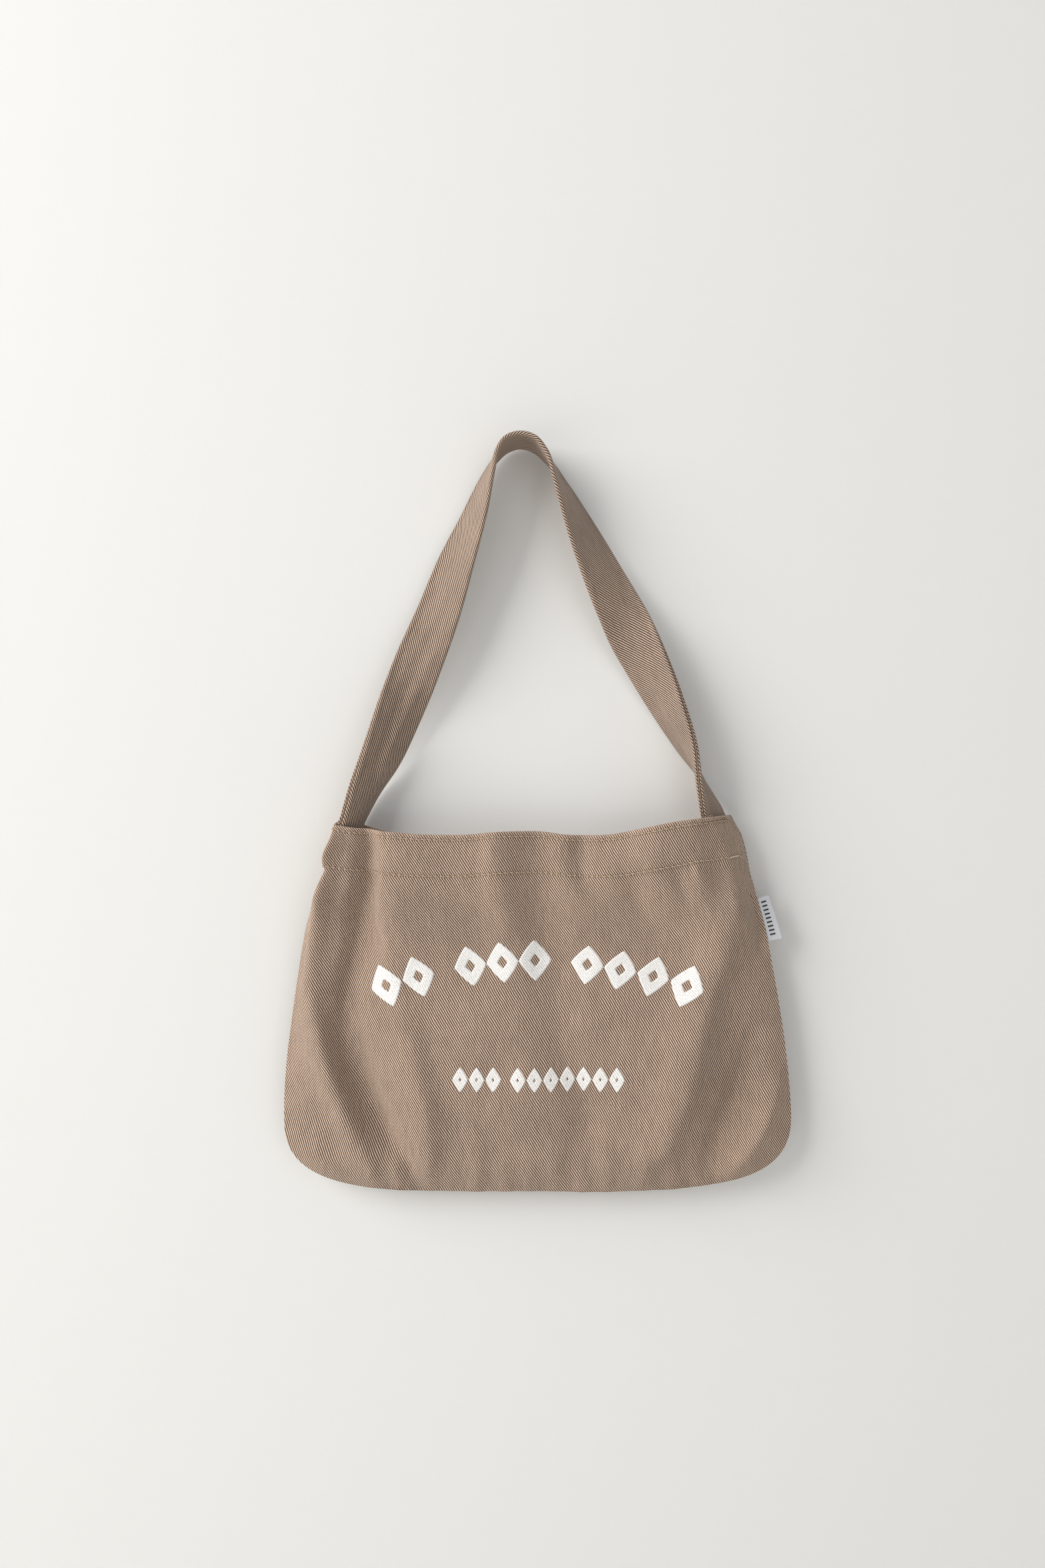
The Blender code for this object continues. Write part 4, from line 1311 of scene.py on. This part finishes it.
# %%
# Lengthwise creases of the strap: (run, distance across, height, width), in millimetres.
STRAP_CREASES = {
    "left ridge": (
        (20, -3, 0.0, 3.5),
        (50, -4, 1.0, 3.5),
        (85, -2, 0.9, 4),
        (120, 2, 0.7, 5),
        (160, 6, 0.0, 6),
    ),
    "left valley": (
        (15, 2, 0.0, 3),
        (45, 1.5, -1.2, 3),
        (80, 4, -0.9, 3.5),
        (125, 8, -0.5, 4),
        (150, 9, 0.0, 4),
    ),
    "left swell": ((110, -9, 0.0, 4), (150, -7, 0.7, 5), (200, -3, 0.0, 6)),
    "right valley": ((430, 2, 0.0, 5), (480, -1, -0.8, 5), (530, -4, -0.7, 4.5), (575, -6, 0.0, 4)),
    "right ridge": ((410, -4, 0.0, 5), (470, 7, 0.6, 5), (520, 4, 0.7, 4.5), (570, 0, 0.0, 4)),
    "right base": ((560, 5, 0.0, 4), (590, 4, -0.9, 4), (612, 3, -0.5, 4)),
}

# How far the strap's middle stands proud of its edges: (run, millimetres).
STRAP_CUP = (
    (-28, -5.0),
    (0, -5.0),
    (30, -3.6),
    (70, -0.6),
    (120, 0.0),
    (480, 0.0),
    (540, 1.0),
    (575, 2.0),
    (610, 2.0),
)


def cup_at(run):
    """How far the strap's middle stands proud of its edges at these runs, in metres."""
    return through_knots(run / MM, STRAP_CUP) * MM


def narrowed(cup):
    """The share of its flat width that the strap keeps when it is cupped this far: a shallow arch."""
    return 1 - 8 / 3 * (cup / STRAP_WIDTH) ** 2


def strap_relief(run, across):
    """How far the creases lift the strap's middle at each station and distance across."""
    total = np.zeros((len(run), len(across)))
    for knots in STRAP_CREASES.values():
        line, height, width = np.moveaxis(through_knots(run / MM, knots), -1, 0)
        away = (across[None] / MM - line[:, None]) / width[:, None]
        total = total + height[:, None] * np.exp(-(away**2))
    waves = np.sin(run / MM / 9.0)[:, None] * np.sin(across / MM / 4.1 + 1.0)[None] * 0.10
    waves = waves + np.sin(run / MM / 23.0 + 1.0)[:, None] * np.cos(across / MM / 9.0)[None] * 0.2
    fade = smooth((STRAP_WIDTH / 2 + across) / (5 * MM))[None]
    return (total + waves) * fade * MM


# %% [markdown]
# ## The strap's mesh
# The section is creased and cupped at each station, then carried along.


def make_strap():
    """The strap with its creases. The cloth's coordinates run round the section from the slit."""
    middle, across, through, run = strap_frames(520)
    section = strap_section()
    lifted = np.broadcast_to(section, (len(run), *section.shape)).copy()
    share = section[None, :, 0] / (STRAP_WIDTH / 2)
    cup = cup_at(run)
    lifted[:, :, 1] += strap_relief(run, section[:, 0]) + cup * (0.5 - share**2)
    lifted[:, :, 0] *= narrowed(cup)
    cloth = np.stack(np.broadcast_arrays(run_of(section)[None], run[:, None]), axis=-1)
    return rings("strap_cloth", middle, across, through, lifted, cloth, strap_cloth)


def bend_strap(obj):
    """A piece of the strap has its place baked into its points."""
    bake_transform(obj)


strap = make_strap()
bend_strap(strap)
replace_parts(strap, "strap", "strap_end_left", "strap_end_right")
middle, across, through, run = strap_frames(900)

# %% [markdown]
# ## The strap's stitches
# The strap is closed by one row near its open edge. From the side it shows as short stitches down in
# the slit between the two rolled edges.

# %%
SLIT_DEPTH = 0.5 * MM
STRAP_PITCH = 3.4 * MM
STRAP_THREAD = 0.33 * MM  # the thread's radius

edge_cup = cup_at(run)
slit = middle - across * (STRAP_WIDTH / 2 * narrowed(edge_cup) - SLIT_DEPTH) - through * 0.5 * edge_cup
strap_stitches = stitch_row(
    "strap_stitches", slit, -across, STRAP_PITCH, STRAP_THREAD, strap_thread, tilt=0.0, sink=1.6
)
bend_strap(strap_stitches)
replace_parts(strap_stitches, "strap_edge_stitch")

# %% [markdown]
# ## Strap ends
# Each end of the strap is fastened inside its corner of the mouth by a bar of close zigzag stitches,
# which takes the bag's weight. It follows the strap's own cupped and turned face.

# %%
TACK_ROUNDS = 38
TACK_HALF = 1.1 * MM  # half a tack's height
TACK_MARGIN = 4 * MM  # it stops this far from the strap's edges
TACK_LIFT = 0.35 * MM
TACK_THREAD = 0.24 * MM


def make_tack(name, at, side):
    """A zigzag bar across the strap's inner face, at a distance along it."""
    place = np.abs(run - at).argmin()
    inner = -side * np.sign(through[place, 0])
    reach = STRAP_WIDTH / 2 - TACK_MARGIN
    turns_over = np.repeat(np.linspace(-reach, reach, TACK_ROUNDS), 2)
    turns_up = np.tile([-TACK_HALF, TACK_HALF], TACK_ROUNDS)
    turns = np.stack([turns_over, turns_up], axis=1)
    zigzag = resampled(turns, np.linspace(0, run_of(turns)[-1], 700))
    cup = edge_cup[place]
    lift = cup * (0.5 - (zigzag[:, 0] / (STRAP_WIDTH / 2)) ** 2) + inner * (STRAP_THICK / 2 + TACK_LIFT)
    upward = np.cross(across[place], through[place])
    path = middle[place] + zigzag[:, :1] * narrowed(cup) * across[place] + zigzag[:, 1:] * upward
    path = path + lift[:, None] * through[place]
    off = np.broadcast_to(inner * through[place], path.shape)
    obj = tube(name, path, off, TACK_THREAD, hem_thread)
    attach(obj, "bag")
    return obj


half_end = END_DEPTH / 2 * math.hypot(1, END_LEAN)
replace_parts(make_tack("tack_left", run[0] + half_end, -1), "strap_tack_left")
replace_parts(make_tack("tack_right", run[-1] - half_end, 1), "strap_tack_right")
print(f"tacks {half_end / MM:.0f} mm from the strap's ends")

# %% [markdown]
# ## Loose threads
# At the right corner a few threads have frayed out of the seam, a knot of back-tacking ends the hem's
# lower row, and a short darker row holds the strap's end to the lip.

# %%
FRAY_POINTS = 24


def corner_thread(name, place, turn, length, curl, material, radius=0.11 * MM):
    """A loose thread: an arc that starts at a place on the front panel and stands off it."""
    start = panel(-1, *place) + panel_normal(-1, *place) * (CLOTH / 2)
    share = np.linspace(0, 1, FRAY_POINTS)
    heading = turn + curl * share
    ahead = np.stack([np.cos(heading), -0.35 * np.sin(share * np.pi), np.sin(heading)], axis=1)
    step = ahead * length / FRAY_POINTS
    path = start + np.cumsum(step, axis=0) - step[0] * 2
    off = np.broadcast_to([0.0, -1.0, 0.0], path.shape)
    obj = tube(name, path, off, radius * np.linspace(1.0, 0.6, FRAY_POINTS), material, sides=5)
    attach(obj, "bag")


# Each fray: (share of the half width, depth), heading, length, curl, thread.
FRAYS = (
    ((0.90, 0.3 * MM), 1.9, 7.5 * MM, 1.3, pale_thread),
    ((0.93, 0.3 * MM), 1.2, 5.5 * MM, -1.4, hem_thread),
    ((0.955, 0.4 * MM), 0.7, 6.5 * MM, 1.8, dark_thread),
    ((0.975, 1.0 * MM), 0.3, 5.0 * MM, -1.2, dark_thread),
    ((0.982, 27 * MM), 0.9, 6.0 * MM, -2.2, pale_thread),
    ((0.978, 25 * MM), 1.7, 4.5 * MM, 2.6, pale_thread),
)
for number, (place, turn, length, curl, material) in enumerate(FRAYS):
    corner_thread(f"fray_{number + 1}", place, turn, length, curl, material)
for number in range(4):
    start = (0.955 + 0.006 * number, HEM_DEPTH + (0.5 - 0.45 * number) * MM)
    corner_thread(f"back_tack_{number + 1}", start, 0.25 - 0.2 * number, 3.4 * MM, 0.5, pale_thread, 0.3 * MM)
corner_row = hem_row("corner_stitches", -1, 1.6 * MM, 0.9, ROW_END, strap_thread)
follow_front(corner_row)
print(len(FRAYS), "frayed threads at the right corner")

# %% [markdown]
# ## Print
# White screen ink: an arched row of plain lozenges in groups of two, three and four, and a short
# straight row under it. They are plain shapes in place of lettering. The ink lies on the ribs as a thin
# film, so the weave shows through it.

# %%
INK_WHITE = (0.93, 0.925, 0.91, 1)
INK_THIN = (0.62, 0.56, 0.5, 1)  # where the cloth shows through


def make_ink():
    """White screen ink over twill: slightly thinner in the weave's gaps."""
    material, tree, shader = material_of("print_ink", 0.62)
    cloth, parts = cloth_place(tree)
    weave = woven_at(tree, parts, WARP_PITCH, WEFT_PITCH)
    speck = node(tree, "ShaderNodeTexNoise", {"Vector": cloth, "Scale": 900.0, "Detail": 3.0})
    gaps = mapped(tree, weave["Rib"], 0.0, 0.6, 1.0, 0.0)
    patchy = mapped(tree, speck.outputs[0], 0.4, 0.62, 0.25, 1.0)
    colour = blended(tree, maths(tree, "MULTIPLY", gaps, patchy), INK_WHITE, INK_THIN)
    tree.links.new(colour, shader.inputs["Base Color"])
    bump = node(tree, "ShaderNodeBump", {"Height": weave["Height"], "Strength": 0.5, "Distance": 0.12 * MM})
    tree.links.new(bump.outputs[0], shader.inputs["Normal"])
    return material


print_ink = make_ink()
print("ink:", print_ink.name)

# %% [markdown]
# ## The marks
# Each mark is a closed film, laid over the front panel ring by ring and open in the middle. The arch is
# a parabola, and each of its marks is tilted with it. The marks of the straight row are half the size.

# %%
INK_LIFT = 0.07 * MM  # how far the film stands on the cloth
INK_SINK = 0.15 * MM  # and how far it has soaked in
ARCH_CENTRE = 1.3 * MM
ARCH_HALF = 95 * MM
ARCH_FOOT = 101 * MM  # the depth of the middle marks' lower ends
ARCH_RISE = 17.5 * MM  # how much lower the arch is at ARCH_HALF from its middle
ARCH_LEAN = 0.026  # the whole print hangs slightly lower on the right
MARK_HEIGHT = 28.6 * MM
MARK_WIDTH = 20.5 * MM
MARK_PITCH = 20.6 * MM
GROUP_GAP = 12.5 * MM
ROW_DEPTH = 163 * MM
ROW_PITCH = 10.4 * MM
ROW_GAP = 5 * MM
ROW_MARK_WIDTH = 9.6 * MM
ROW_MARK_HEIGHT = 15.5 * MM
PRINT_SPREAD = 0.93  # the cloth's run across, as a share of the place across the widest line


def lozenge(name, x, depth, width, height, tilt, hollow, material):
    """A lozenge of ink, tilted clockwise, laid over the front panel. hollow is the share of it that is
    left open in the middle. Its corners are slightly rounded."""
    turn = np.linspace(0, 2 * np.pi, 97)[:-1]
    power = 0.87
    size = (np.abs(np.cos(turn)) ** (1 / power) + np.abs(np.sin(turn)) ** (1 / power)) ** -power
    rim = np.stack([np.cos(turn) * size * width / 2, np.sin(turn) * size * height / 2], axis=1)
    ring = np.linspace(hollow, 1, 7)[:, None, None] * rim[None]
    ring_x = ring[..., 0] * math.cos(tilt) - ring[..., 1] * math.sin(tilt)
    ring_depth = ring[..., 0] * math.sin(tilt) + ring[..., 1] * math.cos(tilt)
    level = depth + ring_depth
    across = (x + ring_x) / half_width(level)
    normal = panel_normal(-1, across, level)
    ply = panel(-1, across, level)
    rows, columns = level.shape
    skins = [ply + normal * (CLOTH / 2 + INK_LIFT), ply + normal * (CLOTH / 2 - INK_SINK)]
    points = np.concatenate([skin.reshape(-1, 3) for skin in skins])
    index = np.arange(rows * columns).reshape(rows, columns)
    after = np.roll(index, -1, axis=1)
    quads = np.stack([index[:-1], after[:-1], after[1:], index[1:]], axis=-1).reshape(-1, 4)
    back = rows * columns
    outer_rim = np.stack([index[-1], after[-1], after[-1] + back, index[-1] + back], axis=-1)
    inner_rim = np.stack([index[0] + back, after[0] + back, after[0], index[0]], axis=-1)
    faces = [quads, quads[:, ::-1] + back, outer_rim, inner_rim]
    if not look_out(quads, points, (0, -1, 0)):
        faces = [group[:, ::-1] for group in faces]
    place = np.stack([across * BAG_WIDTH / 2 * PRINT_SPREAD, level], axis=-1).reshape(-1, 2)
    obj = mesh_of(name, points, faces, np.concatenate([place, place]), material)
    follow_front(obj)
    return obj


def arch_places():
    """Where the arched row's marks stand: even steps, with a wider gap after the second and the fifth."""
    steps = np.arange(9) * MARK_PITCH + np.array([0, 0, 1, 1, 1, 2, 2, 2, 2]) * GROUP_GAP
    return steps - steps[-1] / 2 + ARCH_CENTRE


for number, x in enumerate(arch_places()):
    share = (x - ARCH_CENTRE) / ARCH_HALF
    depth = ARCH_FOOT + ARCH_RISE * share**2 + ARCH_LEAN * x - MARK_HEIGHT / 2
    tilt = math.atan(2 * ARCH_RISE * share / ARCH_HALF + ARCH_LEAN)
    lozenge(f"print_arch_{number + 1}", x, depth, MARK_WIDTH, MARK_HEIGHT, tilt, 0.3, print_ink)

row_steps = np.arange(10) * ROW_PITCH + (np.arange(10) > 2) * ROW_GAP
for number, x in enumerate(row_steps - row_steps[-1] / 2 + ARCH_CENTRE):
    name = f"print_row_{number + 1}"
    depth = ROW_DEPTH + ARCH_LEAN * x
    lozenge(name, x, depth, ROW_MARK_WIDTH, ROW_MARK_HEIGHT, ARCH_LEAN, 0.16, print_ink)
print(f"print {len(arch_places())} marks in the arch, {len(row_steps)} in the row")

# %% [markdown]
# ## Label
# A woven label folded double and caught in the right side seam. It stands out of the seam and bends a
# little. It carries a plain row of dark bars in place of words.

# %%
LABEL_TOP = 55 * MM
LABEL_HEIGHT = 28 * MM
LABEL_REACH = 7.2 * MM
LABEL_ROOT = 3.1 * MM  # how far outside the plain outline the label leaves the seam
LABEL_LEAF = 0.35 * MM  # one leaf's thickness
LABEL_HALF = 0.55 * MM  # half the thickness of both leaves and the gap
LABEL_EASE = 0.9 * MM  # the fold's round end reaches this much further
BAR_PITCH = 2.6 * MM
BAR_MIDDLE = 3.4 * MM
BAR_HALF = 1.6 * MM
BARS_MIDDLE = 14.2 * MM
BARS_HALF = 11.7 * MM


def within(tree, value, middle, half):
    """1 where a value is nearer to a middle than this, and 0 elsewhere."""
    away = maths(tree, "ABSOLUTE", maths(tree, "SUBTRACT", value, middle))
    return maths(tree, "LESS_THAN", away, half)


def make_label_weave():
    """Close white satin with fine ribs, and a row of dark bars down its front leaf."""
    material, tree, shader = material_of("woven_label", 0.55)
    parts = cloth_place(tree)[1]
    ribs = maths(tree, "SINE", maths(tree, "MULTIPLY", parts[1], 2 * math.pi / (0.32 * MM)))
    yarns = maths(tree, "SINE", maths(tree, "MULTIPLY", parts[0], 2 * math.pi / (0.22 * MM)))
    step = maths(tree, "FRACT", maths(tree, "DIVIDE", parts[1], BAR_PITCH))
    across_bar = within(tree, parts[0], BAR_MIDDLE, BAR_HALF)
    bar = maths(tree, "MULTIPLY", maths(tree, "LESS_THAN", step, 0.42), across_bar)
    marked = maths(tree, "MULTIPLY", bar, within(tree, parts[1], BARS_MIDDLE, BARS_HALF))
    white = mapped(tree, ribs, -1.0, 1.0, 0.86, 1.0)
    tone = node(tree, "ShaderNodeVectorMath", {0: (0.66, 0.665, 0.70), 1: white}, operation="MULTIPLY")
    colour = blended(tree, marked, tone.outputs[0], (0.035, 0.035, 0.04, 1))
    tree.links.new(colour, shader.inputs["Base Color"])
    relief = maths(tree, "ADD", ribs, maths(tree, "MULTIPLY", yarns, 0.4))
    bump = node(tree, "ShaderNodeBump", {"Height": relief, "Strength": 0.4, "Distance": 0.06 * MM})
    tree.links.new(bump.outputs[0], shader.inputs["Normal"])
    return material


def make_label():
    """The label's section, two leaves and the fold between them, carried down the seam. Lower down, it
    leans out and forward a little."""
    depth = np.linspace(LABEL_TOP, LABEL_TOP + LABEL_HEIGHT, 40)
    share = (depth - LABEL_TOP) / LABEL_HEIGHT
    line = np.stack([half_width(depth) + LABEL_ROOT, 0 * depth, MOUTH_Z - depth], axis=1)
    along = directions(line)
    out = np.stack([-along[:, 2], 0 * depth, along[:, 0]], axis=1)
    leaf = np.linspace(0, LABEL_REACH + LABEL_EASE - LABEL_HALF, 12)
    turn = np.linspace(-np.pi / 2, np.pi / 2, 9)[1:-1]
    outer = [(a, -LABEL_HALF) for a in leaf]
    outer += [(leaf[-1] + LABEL_HALF * math.cos(t), LABEL_HALF * math.sin(t)) for t in turn]
    outer += [(a, LABEL_HALF) for a in leaf[::-1]]
    core = LABEL_HALF - LABEL_LEAF
    inner = [(a, core) for a in leaf]
    inner += [(leaf[-1] + core * math.cos(t), -core * math.sin(t)) for t in turn]
    inner += [(a, -core) for a in leaf[::-1]]
    section = np.array(outer + inner)
    bent = np.broadcast_to(section, (len(depth), *section.shape)).copy()
    reach = section[:, 0] / LABEL_REACH
    bent[:, :, 1] += (reach[None] ** 2) * (0.6 - 1.9 * share[:, None]) * MM
    bent[:, :, 0] *= 1 + 0.10 * share[:, None]
    cloth = np.stack(np.broadcast_arrays(run_of(section)[None], (depth - LABEL_TOP)[:, None]), axis=-1)
    behind = np.broadcast_to([0.0, 1.0, 0.0], line.shape)
    return rings("label_cloth", line, out, behind, bent, cloth, make_label_weave())


label = make_label()
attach(label, "label")
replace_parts(label, "side_label")
print(f"label {LABEL_HEIGHT / MM:.0f} mm high, {LABEL_TOP / MM:.0f} mm under the mouth")
